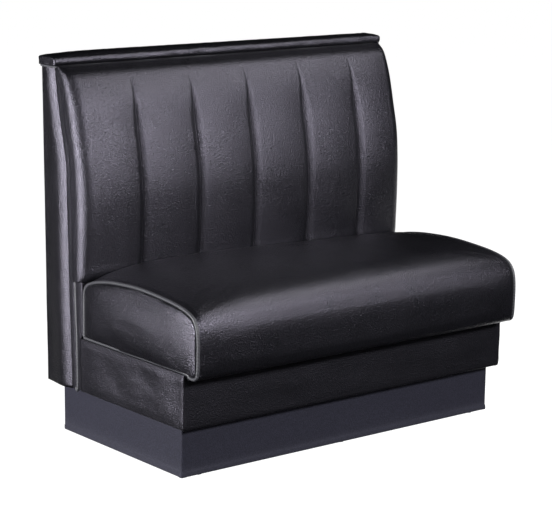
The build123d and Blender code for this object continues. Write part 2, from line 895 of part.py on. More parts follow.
def cushion_side():
    """Side outline of the cushion's core."""
    with BuildLine() as outline:
        FilletPolyline(
            (forward(seat_tuck_depth), seat_base),
            (forward(seat_tuck_depth), seat_step_bottom),
            (forward(seat_rear), seat_step_top),
            (forward(seat_rear), seat_rear_top),
            (forward(crest_depth), seat_top),
            (forward(booth_depth), seat_front_top),
            (forward(booth_depth - seat_front_lean), seat_base),
            radius=[
                seat_bottom_radius,
                step_radius,
                step_radius,
                seat_bottom_radius,
                seat_crest_radius,
                seat_front_radius,
                seat_front_bottom_radius,
            ],
            close=True,
        )
    make_face(outline.edges())


def cushion_front(skin):
    """Front outline of the cushion's core, whose top slopes down to both ends."""
    with BuildLine() as outline:
        Polyline(
            (-core_half, seat_base),
            (-core_half, seat_end_top - skin),
            (-slope_start, seat_top - skin),
            (slope_start, seat_top - skin),
            (core_half, seat_end_top - skin),
            (core_half, seat_base),
            close=True,
        )
    make_face(outline.edges())


with BuildPart() as cushion_inside:
    with BuildSketch(Plane.YZ.offset(-core_half)):
        cushion_side()
        offset(amount=-vinyl)
    extrude(amount=2 * core_half)
    with BuildSketch(Plane.XZ.offset(-booth_depth)):
        cushion_front(vinyl)
    extrude(amount=2 * booth_depth, mode=Mode.INTERSECT)

rail_bottom = seat_base + vinyl
rail_top = rail_bottom + seat_rail_height
front_rail_front = booth_depth - seat_front_lean - vinyl - seat_front_roll
front_rail_line = front_rail_front - seat_rail / 2
rear_rail_rear = seat_tuck_depth + vinyl
rear_rail_line = rear_rail_rear + seat_rail / 2
end_rail_line = core_half - seat_rail / 2
seat_rail_middle = (front_rail_line + rear_rail_line) / 2
end_rail_length = front_rail_line - rear_rail_line - seat_rail
stretcher_line = core_half * stretcher_share
wire_height = rail_top + spring_clip_wall + spring_wire_radius
insulator_bottom = wire_height + spring_wire_radius + spring_clip_wall
foam_bottom = insulator_bottom + insulator
foam_step = seat_base + seat_crown_height * foam_step_share

seat_screw_places = [
    driven(x, depth, rail_bottom + seat_rail_height * share, outward)
    for x in (-end_rail_line, -stretcher_line, stretcher_line, end_rail_line)
    for depth, outward in ((front_rail_front, to_front), (rear_rail_rear, to_rear))
    for share in seat_screw_shares
]

with BuildPart() as seat_front_rail:
    with BuildSketch(Plane.XY.offset(rail_bottom)):
        with Locations((0, forward(front_rail_line))):
            Rectangle(2 * core_half, seat_rail)
    extrude(amount=seat_rail_height)
    with Locations(*seat_screw_places):
        add(screw_hole.part, mode=Mode.SUBTRACT)

with BuildPart() as seat_rear_rail:
    with BuildSketch(Plane.XY.offset(rail_bottom)):
        with Locations((0, forward(rear_rail_line))):
            Rectangle(2 * core_half, seat_rail)
    extrude(amount=seat_rail_height)
    rear_edge = edges().filter_by(Axis.X).group_by(Axis.Z)[0].sort_by(Axis.Y)[-1]
    fillet(rear_edge, radius=seat_bottom_radius - vinyl)
    with Locations(*seat_screw_places):
        add(screw_hole.part, mode=Mode.SUBTRACT)

end_rails = []
for x in (-end_rail_line, end_rail_line):
    with BuildPart() as end_rail:
        with BuildSketch(Plane.XY.offset(rail_bottom)):
            with Locations((x, forward(seat_rail_middle))):
                Rectangle(seat_rail, end_rail_length)
        extrude(amount=seat_rail_height)
        with Locations(*seat_screw_places):
            add(screw_hole.part, mode=Mode.SUBTRACT)
    end_rails.append(end_rail)
seat_left_rail, seat_right_rail = end_rails

with BuildPart() as seat_stretchers:
    with BuildSketch(Plane.XY.offset(rail_bottom)):
        with Locations(
            (-stretcher_line, forward(seat_rail_middle)), (stretcher_line, forward(seat_rail_middle))
        ):
            Rectangle(seat_rail, end_rail_length)
    extrude(amount=seat_rail_height)
    with Locations(*seat_screw_places):
        add(screw_hole.part, mode=Mode.SUBTRACT)

with BuildPart() as seat_frame_screws:
    with Locations(*seat_screw_places):
        add(screw.part)

spring_gap = 2 * core_half / spring_count
spring_places = [spring_gap * (k - (spring_count - 1) / 2) for k in range(spring_count)]
spring_span = front_rail_line - rear_rail_line
bar_count = round(spring_span / spring_pitch)
bar_pitch = spring_span / bar_count
bend_radius = bar_pitch / 2 - spring_wire_radius / 2
spring_points = []
for bar in range(bar_count + 1):
    turn = 1 if bar % 2 else -1
    bar_depth = rear_rail_line + bar_pitch * bar
    spring_points.append((-turn * spring_width / 2, forward(bar_depth)))
    spring_points.append((turn * spring_width / 2, forward(bar_depth)))

with BuildPart() as one_spring:
    with BuildLine(Plane.XY.offset(wire_height)) as spring_path:
        FilletPolyline(*spring_points, radius=bend_radius)
    with BuildSketch(Plane(origin=spring_path.line @ 0, z_dir=spring_path.line % 0)):
        Circle(spring_wire_radius)
    sweep()

with BuildPart() as seat_springs:
    with Locations(*[(x, 0, 0) for x in spring_places]):
        add(one_spring.part)

with BuildPart() as seat_spring_clips:
    for x in spring_places:
        with BuildSketch(Plane.YZ.offset(x - spring_clip_width / 2)):
            with Locations(
                *[(forward(depth), wire_height) for depth in (front_rail_line, rear_rail_line)]
            ):
                Rectangle(spring_clip_base, 2 * (spring_wire_radius + spring_clip_wall))
                Circle(spring_wire_radius + screw_clearance, mode=Mode.SUBTRACT)
        extrude(amount=spring_clip_width)

with BuildPart() as seat_insulator:
    with BuildSketch(Plane.XY.offset(insulator_bottom)):
        with Locations((0, forward(seat_rail_middle))):
            Rectangle(2 * core_half, front_rail_front - rear_rail_rear)
    extrude(amount=insulator)

with BuildPart() as seat_firm_foam:
    add(cushion_inside.part)
    with BuildSketch(Plane.XY.offset(foam_bottom)):
        Rectangle(2 * booth_width, 2 * booth_depth)
    extrude(amount=foam_step - foam_bottom, mode=Mode.INTERSECT)

with BuildPart() as seat_soft_foam:
    add(cushion_inside.part)
    with BuildSketch(Plane.XY.offset(foam_step)):
        Rectangle(2 * booth_width, 2 * booth_depth)
    extrude(amount=booth_height, mode=Mode.INTERSECT)

with BuildPart() as seat_front_edge_roll:
    add(cushion_inside.part)
    with BuildSketch():
        with Locations((0, forward(front_rail_front))):
            Rectangle(2 * booth_width, booth_depth, align=(Align.CENTER, Align.MAX))
    extrude(amount=foam_bottom, mode=Mode.INTERSECT)

with BuildPart() as seat_top_cover:
    with BuildSketch(Plane.YZ.offset(-core_half)):
        cushion_side()
    extrude(amount=2 * core_half)
    with BuildSketch(Plane.XZ.offset(-booth_depth)):
        cushion_front(0)
    extrude(amount=2 * booth_depth, mode=Mode.INTERSECT)
    add(cushion_inside.part, mode=Mode.SUBTRACT)
    with BuildSketch(Plane.XY.offset(seat_base - overrun)):
        with Locations((0, forward(seat_rail_middle))):
            Rectangle(2 * (core_half - seat_hem), front_rail_front - rear_rail_rear - 2 * seat_hem)
    extrude(amount=2 * overrun, mode=Mode.SUBTRACT)

with BuildPart() as seat_dust_cover:
    with BuildSketch(Plane.XY.offset(rail_bottom - dust_cover)):
        with Locations((0, forward(seat_rail_middle))):
            Rectangle(
                2 * (core_half - seat_hem - soft_gap),
                front_rail_front - rear_rail_rear - 2 * (seat_hem + soft_gap),
            )
    extrude(amount=dust_cover)

# Seat ends: a welt round each end panel

end_front_top = seat_base + seat_crown_height * end_front_share
end_points = [
    (forward(seat_tuck_depth), seat_base),
    (forward(seat_tuck_depth), seat_step_top),
    (forward(crest_depth), seat_end_top),
    (forward(booth_depth), end_front_top),
    (forward(booth_depth - seat_front_lean), seat_base),
]
end_radii = [
    seat_bottom_radius,
    seat_end_radius,
    seat_crest_radius,
    seat_front_radius,
    seat_front_bottom_radius,
]

seat_welts = []
for welt_x in (seat_welt_radius - half_width, half_width - seat_welt_radius):
    with BuildPart() as seat_welt:
        with BuildLine(Plane.YZ.offset(welt_x)) as ring_path:
            FilletPolyline(*end_points, radius=end_radii, close=True)
            offset(amount=-seat_welt_radius)
        with BuildSketch(Plane(origin=ring_path.wire() @ 0, z_dir=ring_path.wire() % 0)):
            Circle(seat_welt_radius)
        sweep(path=ring_path.wire())
    seat_welts.append(seat_welt)
seat_left_welt, seat_right_welt = seat_welts

panel_radii = [radius + 2 * seat_welt_radius for radius in end_radii]
end_panels = []
for side in (-1, 1):
    with BuildPart() as end_panel:
        with BuildSketch(Plane.YZ.offset(side * core_half)):
            with BuildLine():
                FilletPolyline(*end_points, radius=panel_radii, close=True)
            make_face()
            offset(amount=-2 * seat_welt_radius - soft_gap)
        extrude(amount=side * end_panel_thickness)
        outer_edges = edges().filter_by(lambda edge: edge.center().X * side > half_width)
        chamfer(outer_edges, length=end_panel_bevel)
    end_panels.append(end_panel)
seat_left_end_panel, seat_right_end_panel = end_panels

# Write one file for each piece

pieces = {
    "floor_glides": floor_glides,
    "plinth_front_board": plinth_front_board,
    "plinth_rear_board": plinth_rear_board,
    "plinth_left_board": plinth_left_board,
    "plinth_right_board": plinth_right_board,
    "plinth_braces": plinth_braces,
    "plinth_corner_blocks": plinth_corner_blocks,
    "plinth_cover": plinth_cover,
    "seat_box_floor": seat_box_floor,
    "seat_box_front_board": seat_box_front_board,
    "seat_box_rear_rail": seat_box_rear_rail,
    "seat_box_left_board": seat_box_left_board,
    "seat_box_right_board": seat_box_right_board,
    "seat_box_braces": seat_box_braces,
    "seat_box_corner_blocks": seat_box_corner_blocks,
    "seat_box_cover": seat_box_cover,
    "back_bottom_board": back_bottom_board,
    "back_left_stile": back_left_stile,
    "back_right_stile": back_right_stile,
    "back_ribs": back_ribs,
    "back_lumbar_rail": back_lumbar_rail,
    "back_top_rail": back_top_rail,
    "back_bolting_rail": back_bolting_rail,
    "back_inner_panel": back_inner_panel,
    "back_outer_panel": back_outer_panel,
    "back_outer_cover": back_outer_cover,
    "back_left_side_cover": back_left_side_cover,
    "back_right_side_cover": back_right_side_cover,
    "back_gussets": back_gussets,
    "back_left_welt": back_left_welt,
    "back_right_welt": back_right_welt,
    "back_lower_padding": back_lower_padding,
    "back_lower_cover": back_lower_cover,
    "back_pad_foam": back_pad_foam,
    "back_channel_cover": back_channel_cover,
    "back_bolts": back_bolts,
    "back_tee_nuts": back_tee_nuts,
    "frame_screws": frame_screws,
    "cap_board": cap_board,
    "cap_padding": cap_padding,
    "cap_cover": cap_cover,
    "cap_welt": cap_welt,
    "seat_front_rail": seat_front_rail,
    "seat_rear_rail": seat_rear_rail,
    "seat_left_rail": seat_left_rail,
    "seat_right_rail": seat_right_rail,
    "seat_stretchers": seat_stretchers,
    "seat_springs": seat_springs,
    "seat_spring_clips": seat_spring_clips,
    "seat_insulator": seat_insulator,
    "seat_firm_foam": seat_firm_foam,
    "seat_soft_foam": seat_soft_foam,
    "seat_front_edge_roll": seat_front_edge_roll,
    "seat_top_cover": seat_top_cover,
    "seat_dust_cover": seat_dust_cover,
    "seat_left_end_panel": seat_left_end_panel,
    "seat_right_end_panel": seat_right_end_panel,
    "seat_left_welt": seat_left_welt,
    "seat_right_welt": seat_right_welt,
    "seat_frame_screws": seat_frame_screws,
}
os.makedirs("parts", exist_ok=True)
for name, piece in pieces.items():
    piece.part.label = name
    export_step(piece.part, f"parts/{name}.step")
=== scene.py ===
import json
import math

import bmesh
import bpy
from mathutils import Euler, Matrix, Vector, noise


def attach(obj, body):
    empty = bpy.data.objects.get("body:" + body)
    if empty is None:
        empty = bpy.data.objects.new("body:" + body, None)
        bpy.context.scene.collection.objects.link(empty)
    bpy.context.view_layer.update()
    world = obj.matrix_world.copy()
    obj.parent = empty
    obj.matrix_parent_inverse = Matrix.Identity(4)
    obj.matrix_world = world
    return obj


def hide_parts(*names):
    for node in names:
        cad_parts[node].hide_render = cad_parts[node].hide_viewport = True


# A restaurant booth seat: black grained vinyl over foam, on a plinth in slate vinyl.
# Metres. X from left to right, Y towards the outside back, Z up, as in the part's source.
# A depth is measured forwards from the outside back, and forward() turns it into Y.

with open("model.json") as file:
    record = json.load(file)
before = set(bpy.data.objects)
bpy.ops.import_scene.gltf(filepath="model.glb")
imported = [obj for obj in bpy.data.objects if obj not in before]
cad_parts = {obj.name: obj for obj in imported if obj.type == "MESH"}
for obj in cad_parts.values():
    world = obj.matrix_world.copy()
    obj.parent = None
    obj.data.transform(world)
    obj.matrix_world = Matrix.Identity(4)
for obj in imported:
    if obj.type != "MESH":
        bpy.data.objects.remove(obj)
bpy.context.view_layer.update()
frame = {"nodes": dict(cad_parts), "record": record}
nodes = frame["nodes"]

# Places that the pieces share

BOOTH = "booth"
SEAT = "seat"
HALF = 0.575  # of the width over the seat box and the back's frame
REAR = 0.361  # Y of the outside back
PLINTH_TOP = 0.141
CAP_BOTTOM = 1.043
BOOTH_TOP = 1.067

# Front edge of the back's frame: height, and depth from the outside back
FRAME_EDGE = [
    (0.141, 0.129), (0.279, 0.1238), (0.3936, 0.118), (0.5063, 0.1148), (0.619, 0.112),
    (0.7002, 0.109), (0.7859, 0.1051), (0.8671, 0.086), (0.9483, 0.068), (0.9997, 0.06),
    (1.043, 0.0542),
]
# Middle of the welt up each side of the back
WELT_EDGE = [
    (0.141, 0.1503), (0.279, 0.1471), (0.3936, 0.142), (0.5063, 0.1393), (0.6191, 0.1365),
    (0.7002, 0.1335), (0.7859, 0.1296), (0.8671, 0.1105), (0.9483, 0.093), (0.9997, 0.0796),
    (1.043, 0.064),
]
# Covers beside this welt start so far from its middle
WELT_CLEAR = 0.0048
# Crest of the channels
PAD_FACE = [
    (0.4525, 0.1914), (0.4667, 0.203), (0.5057, 0.2068), (0.5588, 0.211), (0.6179, 0.214),
    (0.7005, 0.214), (0.7861, 0.2041), (0.8659, 0.1873), (0.9485, 0.166), (1.0017, 0.1417),
    (1.0253, 0.1236), (1.043, 0.0902),
]
PAD_BOTTOM = 0.4525
PAD_HALF = 0.584
# X of the seams between the channels
SEAMS = [-0.383, -0.184, 0.015, 0.214, 0.413]


def forward(depth):
    """Y of a place at this depth in front of the outside back."""
    return REAR - depth


def along(line, value):
    """Size at a value on a smooth curve through (value, size) points."""
    last = len(line) - 1
    k = 0
    while k < last - 1 and value > line[k + 1][0]:
        k += 1
    v0, s0 = line[k]
    v1, s1 = line[k + 1]
    before = line[max(k - 1, 0)]
    after = line[min(k + 2, last)]
    slope0 = (s1 - before[1]) / (v1 - before[0])
    slope1 = (after[1] - s0) / (after[0] - v0)
    t = min(max((value - v0) / (v1 - v0), 0.0), 1.0)
    width = v1 - v0
    return (
        (2 * t**3 - 3 * t**2 + 1) * s0
        + (t**3 - 2 * t**2 + t) * width * slope0
        + (3 * t**2 - 2 * t**3) * s1
        + (t**3 - t**2) * width * slope1
    )


def ease(low, high, value):
    """0 up to low, 1 from high on, and smooth between them."""
    t = min(max((value - low) / (high - low), 0.0), 1.0)
    return t * t * (3 - 2 * t)


# Materials


def linear(code):
    """Linear colour of an sRGB hex value."""
    parts = [int(code[i : i + 2], 16) / 255 for i in (1, 3, 5)]
    light = [c / 12.92 if c <= 0.04045 else ((c + 0.055) / 1.055) ** 2.4 for c in parts]
    return (*light, 1.0)


def add_node(tree, kind, settings=None, **links):
    """A node with its settings, and its inputs set to values or joined to other nodes' sockets.

    An input goes by its name, or by its number after an i.
    """
    node = tree.nodes.new(kind)
    for name, value in (settings or {}).items():
        setattr(node, name, value)
    for name, value in links.items():
        numbered = name[0] == "i" and name[1:].isdigit()
        socket = node.inputs[int(name[1:]) if numbered else name.replace("_", " ")]
        if isinstance(value, bpy.types.NodeSocket):
            tree.links.new(value, socket)
        else:
            socket.default_value = value
    return node


def new_material(name):
    """An empty material, its node tree and the coordinates of the object that wears it."""
    material = bpy.data.materials.new(name)
    material.use_nodes = True
    tree = material.node_tree
    tree.nodes.clear()
    place = add_node(tree, "ShaderNodeTexCoord").outputs["Object"]
    return material, tree, place


def dress(tree, settings, colour, roughness, height, bump, distance):
    """Joins colour, roughness and height sockets to a Principled shader and the output."""
    relief = add_node(tree, "ShaderNodeBump", Strength=bump, Distance=distance, Height=height)
    shader = add_node(
        tree, "ShaderNodeBsdfPrincipled", Base_Color=colour, Roughness=roughness,
        Normal=relief.outputs[0],
    )
    for name, value in settings.items():
        shader.inputs[name].default_value = value
    add_node(tree, "ShaderNodeOutputMaterial", Surface=shader.outputs[0])


def mixed(tree, factor, low, high):
    """A colour between two sRGB hex values, by a factor."""
    ramp = add_node(tree, "ShaderNodeValToRGB", Fac=factor)
    ramp.color_ramp.elements[0].color = linear(low)
    ramp.color_ramp.elements[1].color = linear(high)
    return ramp.outputs[0]


def span(tree, factor, low, high):
    """A number between two, by a factor."""
    return add_node(
        tree, "ShaderNodeMapRange", Value=factor, To_Min=low, To_Max=high
    ).outputs[0]


def grained_vinyl(name, valley, crown, tint, rough, specular, bump, pebble=0.0034):
    """Calendered PVC on a knit back, embossed with a leather grain, semi-gloss.

    Its fine pebbles break every highlight into speckle, and slow changes in its gloss leave
    the lights uneven. The real pebbles are about 1 mm. They are drawn at 3.4 mm so that they
    show.
    """
    material, tree, place = new_material(name)
    pebbles = add_node(
        tree, "ShaderNodeTexVoronoi", {"feature": "SMOOTH_F1"}, Vector=place,
        Scale=1 / pebble, Smoothness=0.6,
    ).outputs["Distance"]
    fine = add_node(
        tree, "ShaderNodeTexNoise", Vector=place, Scale=1.7 / pebble, Detail=3.0,
    ).outputs["Fac"]
    slow = add_node(
        tree, "ShaderNodeTexNoise", Vector=place, Scale=9.0, Detail=3.0,
    ).outputs["Fac"]
    grain = add_node(
        tree, "ShaderNodeMath", {"operation": "MULTIPLY_ADD"}, i0=fine, i1=0.8, i2=pebbles
    ).outputs[0]
    colour = mixed(tree, grain, crown, valley)
    # the pebbles' own share of the roughness comes on top of this
    gloss = span(tree, slow, rough - 0.2, rough - 0.08)
    roughness = add_node(
        tree, "ShaderNodeMath", {"operation": "MULTIPLY_ADD"}, i0=fine, i1=0.3, i2=gloss
    ).outputs[0]
    settings = {
        "IOR": 1.5, "Specular IOR Level": specular, "Specular Tint": linear(tint),
    }
    dress(tree, settings, colour, roughness, grain, bump, 0.0011)
    return material


# Semi-gloss black vinyl of the seat, the fluted pad and the cap: broad blurred lights with a
# violet cast
black_vinyl = grained_vinyl(
    "black_grained_vinyl", "#08080a", "#17171b", "#e2dcf2", 0.3, 0.47, 0.8
)
# The same vinyl, a little duller where it is stretched over the box, the gussets and the layer
# behind the seat
box_vinyl = grained_vinyl(
    "black_grained_vinyl_on_boards", "#08080a", "#16161a", "#e2dcf2", 0.37, 0.44, 0.7
)
# And on the padded sides and the outside of the back, where it is smoother
side_vinyl = grained_vinyl(
    "black_grained_vinyl_on_sides", "#060607", "#121215", "#e2dcf2", 0.31, 0.5, 0.8
)
# Slate vinyl of the plinth: matte, a lighter grey-violet than the rest
slate_vinyl = grained_vinyl(
    "slate_matte_vinyl", "#17171f", "#292935", "#eae8f6", 0.66, 0.2, 0.35
)


def bias_vinyl(name, valley, crown, bump):
    """Vinyl strip cut on the bias and sewn round a cord.

    Its woven backing prints through as a fine diagonal hatch. The real hatch is under 1 mm, and
    it is drawn 5 mm apart, which is a wave scale of 70, so that it shows.
    """
    material, tree, place = new_material(name)
    hatch = add_node(
        tree, "ShaderNodeTexWave", {"bands_direction": "DIAGONAL"}, Vector=place,
        Scale=70.0, Distortion=0.6, Detail=1.0, Detail_Scale=2.0,
    ).outputs["Fac"]
    fine = add_node(
        tree, "ShaderNodeTexNoise", Vector=place, Scale=420.0, Detail=2.0
    ).outputs["Fac"]
    weave = add_node(
        tree, "ShaderNodeMath", {"operation": "MULTIPLY_ADD"}, i0=fine, i1=0.5, i2=hatch
    ).outputs[0]
    colour = mixed(tree, weave, valley, crown)
    roughness = span(tree, fine, 0.42, 0.6)
    settings = {"IOR": 1.5, "Specular IOR Level": 0.45}
    dress(tree, settings, colour, roughness, weave, bump, 0.0005)
    return material


# Grey cord welts round the seat's ends
seat_welt_vinyl = bias_vinyl("grey_bias_welt_vinyl", "#161619", "#333338", 0.5)
# Narrower and darker welts up the back and under the cap
back_welt_vinyl = bias_vinyl("dark_bias_welt_vinyl", "#18181b", "#3c3c41", 0.4)


def poplar_plywood():
    """Sanded poplar plywood: pale, with long faint grain along X and soft satin sheen.

    The streaks of its grain are 8 mm wide and 110 mm long.
    """
    material, tree, place = new_material("poplar_plywood")
    stretch = add_node(tree, "ShaderNodeMapping", Vector=place, Scale=(1.5, 22.0, 22.0)).outputs[0]
    grain = add_node(
        tree, "ShaderNodeTexNoise", Vector=stretch, Scale=6.0, Detail=6.0, Distortion=0.8
    ).outputs["Fac"]
    colour = mixed(tree, grain, "#8d6a42", "#cfaa77")
    roughness = span(tree, grain, 0.5, 0.72)
    dress(tree, {"IOR": 1.5, "Specular IOR Level": 0.3}, colour, roughness, grain, 0.2, 0.0008)
    return material


def open_cell_foam():
    """Cut polyurethane foam: pale straw, with pores that leave it without any shine.

    Real pores are 0.5 mm, and they are drawn at 2.4 mm so that they show.
    """
    material, tree, place = new_material("open_cell_foam")
    pores = add_node(tree, "ShaderNodeTexVoronoi", Vector=place, Scale=420.0).outputs["Distance"]
    colour = mixed(tree, pores, "#a48f57", "#e0cf96")
    roughness = span(tree, pores, 0.85, 1.0)
    dress(tree, {"Specular IOR Level": 0.2}, colour, roughness, pores, 0.6, 0.001)
    return material


def needled_felt():
    """Needled felt and cambric under the seat: black fibres pressed flat, quite dull.

    Real fibres are 0.03 mm thick. Tufts of them are drawn, 1.4 mm wide.
    """
    material, tree, place = new_material("needled_felt")
    fibres = add_node(
        tree, "ShaderNodeTexNoise", Vector=place, Scale=700.0, Detail=4.0, Distortion=2.0
    ).outputs["Fac"]
    colour = mixed(tree, fibres, "#0c0c0c", "#3a3a3c")
    roughness = span(tree, fibres, 0.85, 1.0)
    dress(tree, {"Specular IOR Level": 0.15}, colour, roughness, fibres, 0.5, 0.0006)
    return material


def zinc_steel():
    """Zinc plated steel screws, bolts and springs: grey metal, its bloom in 6 mm patches."""
    material, tree, place = new_material("zinc_plated_steel")
    bloom = add_node(
        tree, "ShaderNodeTexNoise", Vector=place, Scale=160.0, Detail=4.0
    ).outputs["Fac"]
    colour = mixed(tree, bloom, "#8a8b8f", "#c3c5c9")
    roughness = span(tree, bloom, 0.3, 0.5)
    dress(tree, {"Metallic": 1.0}, colour, roughness, bloom, 0.1, 0.0003)
    return material


def moulded_nylon():
    """Black moulded nylon glides: smooth, with 3 mm scuffs where they stand."""
    material, tree, place = new_material("moulded_nylon")
    scuffs = add_node(
        tree, "ShaderNodeTexNoise", Vector=place, Scale=300.0, Detail=5.0
    ).outputs["Fac"]
    colour = mixed(tree, scuffs, "#121213", "#2d2d2f")
    roughness = span(tree, scuffs, 0.35, 0.6)
    dress(tree, {"IOR": 1.53}, colour, roughness, scuffs, 0.15, 0.0002)
    return material


# Finish of each of the solids' material slots
FINISHES = {
    "plywood": poplar_plywood(),
    "foam": open_cell_foam(),
    "felt": needled_felt(),
    "zinc_steel": zinc_steel(),
    "nylon": moulded_nylon(),
    "black_vinyl": black_vinyl,
    "slate_vinyl": slate_vinyl,
    "welt_vinyl": back_welt_vinyl,
}
for subpart in frame["record"]["subparts"]:
    finish = FINISHES[subpart["material_slot"]]
    for slot in nodes[subpart["node"]].material_slots:
        slot.material = finish


# Making pieces


def as_mesh(name, shape):
    """Mesh of a bmesh, which is freed."""
    mesh = bpy.data.meshes.new(name)
    shape.to_mesh(mesh)
    shape.free()
    return mesh


def set_down(name, data):
    """An object at the origin in the scene."""
    holder = bpy.data.objects.new(name, data)
    bpy.context.scene.collection.objects.link(holder)
    return holder


def settle(name, mesh, material, body, slot_name, *replaced):
    """Makes a mesh a piece that rides on a body and stands for the nodes named."""
    mesh.name = name
    for polygon in mesh.polygons:
        polygon.use_smooth = True
    mesh.materials.clear()
    mesh.materials.append(material)
    piece = set_down(name, mesh)
    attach(piece, body)
    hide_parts(*replaced)
    return piece


def finished(bench):
    """Mesh of an object after its modifiers."""
    ready = bench.evaluated_get(bpy.context.evaluated_depsgraph_get())
    return bpy.data.meshes.new_from_object(ready)


def bake(shape, kind, **settings):
    """Mesh of a bmesh after one modifier."""
    mesh = as_mesh("bench", shape)
    bench = set_down("bench", mesh)
    modifier = bench.modifiers.new(kind, kind)
    for name, value in settings.items():
        setattr(modifier, name, value)
    baked = finished(bench)
    bpy.data.objects.remove(bench)
    bpy.data.meshes.remove(mesh)
    return baked


def backed(sheet, thickness):
    """A sheet of vinyl whose faces point outwards, given its thickness inwards."""
    return bake(sheet, "SOLIDIFY", thickness=thickness, offset=-1.0)


def slab(outline, low_x, high_x):
    """Closed bmesh: an outline of (depth, height) points carried from one X to another."""
    shape = bmesh.new()
    corners = [shape.verts.new((low_x, forward(depth), height)) for depth, height in outline]
    face = shape.faces.new(corners)
    grown = bmesh.ops.extrude_face_region(shape, geom=[face])
    moved = [v for v in grown["geom"] if isinstance(v, bmesh.types.BMVert)]
    bmesh.ops.translate(shape, verts=moved, vec=(high_x - low_x, 0, 0))
    bmesh.ops.recalc_face_normals(shape, faces=shape.faces)
    return shape


def smoothed(points, steps=6, closed=True):
    """More points on a smooth curve through the points given."""
    line = []
    count = len(points)
    for k in range(count if closed else count - 1):
        p0 = Vector(points[k - 1] if closed or k else points[k])
        p1 = Vector(points[k])
        p2 = Vector(points[(k + 1) % count])
        p3 = Vector(points[(k + 2) % count] if closed or k + 2 < count else points[k + 1])
        for step in range(steps):
            t = step / steps
            line.append(
                0.5 * (2 * p1 + (p2 - p0) * t + (2 * p0 - 5 * p1 + 4 * p2 - p3) * t**2
                       + (3 * p1 - 3 * p2 + p3 - p0) * t**3)
            )
    if not closed:
        line.append(Vector(points[-1]))
    return line


def tube(points, radius, closed=False, sides=10):
    """Mesh of a round cord along points."""
    curve = bpy.data.curves.new("cord_line", "CURVE")
    curve.dimensions = "3D"
    curve.bevel_depth = radius
    curve.bevel_resolution = (sides - 4) // 2
    curve.use_fill_caps = not closed
    spline = curve.splines.new("POLY")
    spline.points.add(len(points) - 1)
    for place, point in zip(spline.points, points):
        place.co = (*point, 1.0)
    spline.use_cyclic_u = closed
    bench = set_down("cord_line", curve)
    mesh = finished(bench)
    bpy.data.objects.remove(bench)
    bpy.data.curves.remove(curve)
    return mesh


def face_out(sheet, outward):
    """Turns all of an open sheet's faces the same way, which is outward(face centre)."""
    bmesh.ops.recalc_face_normals(sheet, faces=sheet.faces)
    total = sum(f.normal.dot(outward(f.calc_center_median())) for f in sheet.faces)
    if total < 0:
        bmesh.ops.reverse_faces(sheet, faces=sheet.faces)


def inflate(mesh, limit, pinned):
    """Swells a mesh as cloth under pressure, no vertex by more than a limit.

    pinned() says of a place whether it stays.
    """
    frames = 20
    start = [v.co.copy() for v in mesh.vertices]
    bench = set_down("bench", mesh)
    group = bench.vertex_groups.new(name="pinned")
    group.add([v.index for v in mesh.vertices if pinned(v.co)], 1.0, "REPLACE")
    cloth = bench.modifiers.new("Cloth", "CLOTH")
    cloth.settings.use_pressure = True
    cloth.settings.uniform_pressure_force = 3.0
    cloth.settings.tension_stiffness = 15.0
    cloth.settings.compression_stiffness = 15.0
    cloth.settings.bending_stiffness = 0.6
    cloth.settings.effector_weights.gravity = 0
    cloth.settings.vertex_group_mass = "pinned"
    cloth.point_cache.frame_start = 1
    cloth.point_cache.frame_end = frames
    scene = bpy.context.scene
    for number in range(1, frames + 1):
        scene.frame_set(number)
    swollen = finished(bench)
    for v, place in zip(swollen.vertices, start):
        step = v.co - place
        if step.length > limit:
            v.co = place + step * (limit / step.length)
    scene.frame_set(1)
    bpy.data.objects.remove(bench)
    return swollen


def refine(mesh):
    """The mesh after one smooth subdivision."""
    shape = bmesh.new()
    shape.from_mesh(mesh)
    return bake(shape, "SUBSURF", levels=1, render_levels=1)


# Seat cushion: side outlines at the middle and at the ends, as (depth, height), point for point

SEAT_MIDDLE = [
    (0.1895, 0.2926), (0.1816, 0.2948), (0.1792, 0.302), (0.1792, 0.36), (0.1792, 0.405),
    (0.1815, 0.427), (0.203, 0.4485),
    (0.2072, 0.458), (0.2072, 0.478), (0.2085, 0.4935), (0.2185, 0.5025), (0.25, 0.507),
    (0.32, 0.5105), (0.4, 0.5125), (0.445, 0.5126), (0.5, 0.5112), (0.58, 0.5065),
    (0.635, 0.4995), (0.675, 0.4885), (0.703, 0.47), (0.719, 0.4415), (0.7245, 0.4),
    (0.7245, 0.355), (0.7225, 0.312), (0.7155, 0.292), (0.698, 0.284), (0.67, 0.2865),
    (0.645, 0.2928), (0.4, 0.2926), (0.25, 0.2926),
]
SEAT_END = [
    (0.1895, 0.2926), (0.1816, 0.2948), (0.1792, 0.302), (0.1792, 0.345), (0.1792, 0.384),
    (0.1795, 0.413), (0.182, 0.4315),
    (0.187, 0.4425), (0.1935, 0.4493), (0.202, 0.4545), (0.214, 0.4597), (0.25, 0.4702),
    (0.32, 0.4815), (0.4, 0.4872), (0.445, 0.488), (0.5, 0.4862), (0.576, 0.4805),
    (0.6285, 0.474), (0.667, 0.465), (0.6945, 0.4512), (0.7105, 0.427), (0.716, 0.392),
    (0.716, 0.35), (0.7145, 0.312), (0.7085, 0.292), (0.692, 0.2835), (0.67, 0.286),
    (0.645, 0.2928), (0.4, 0.2926), (0.25, 0.2926),
]
COVER_HALF = 0.5655
# The right end reaches this share of the end outline, because it slopes down less than the left
FULLER = 0.8
SEAT_WELT = 0.0048
SEAT_WELT_X = 0.57


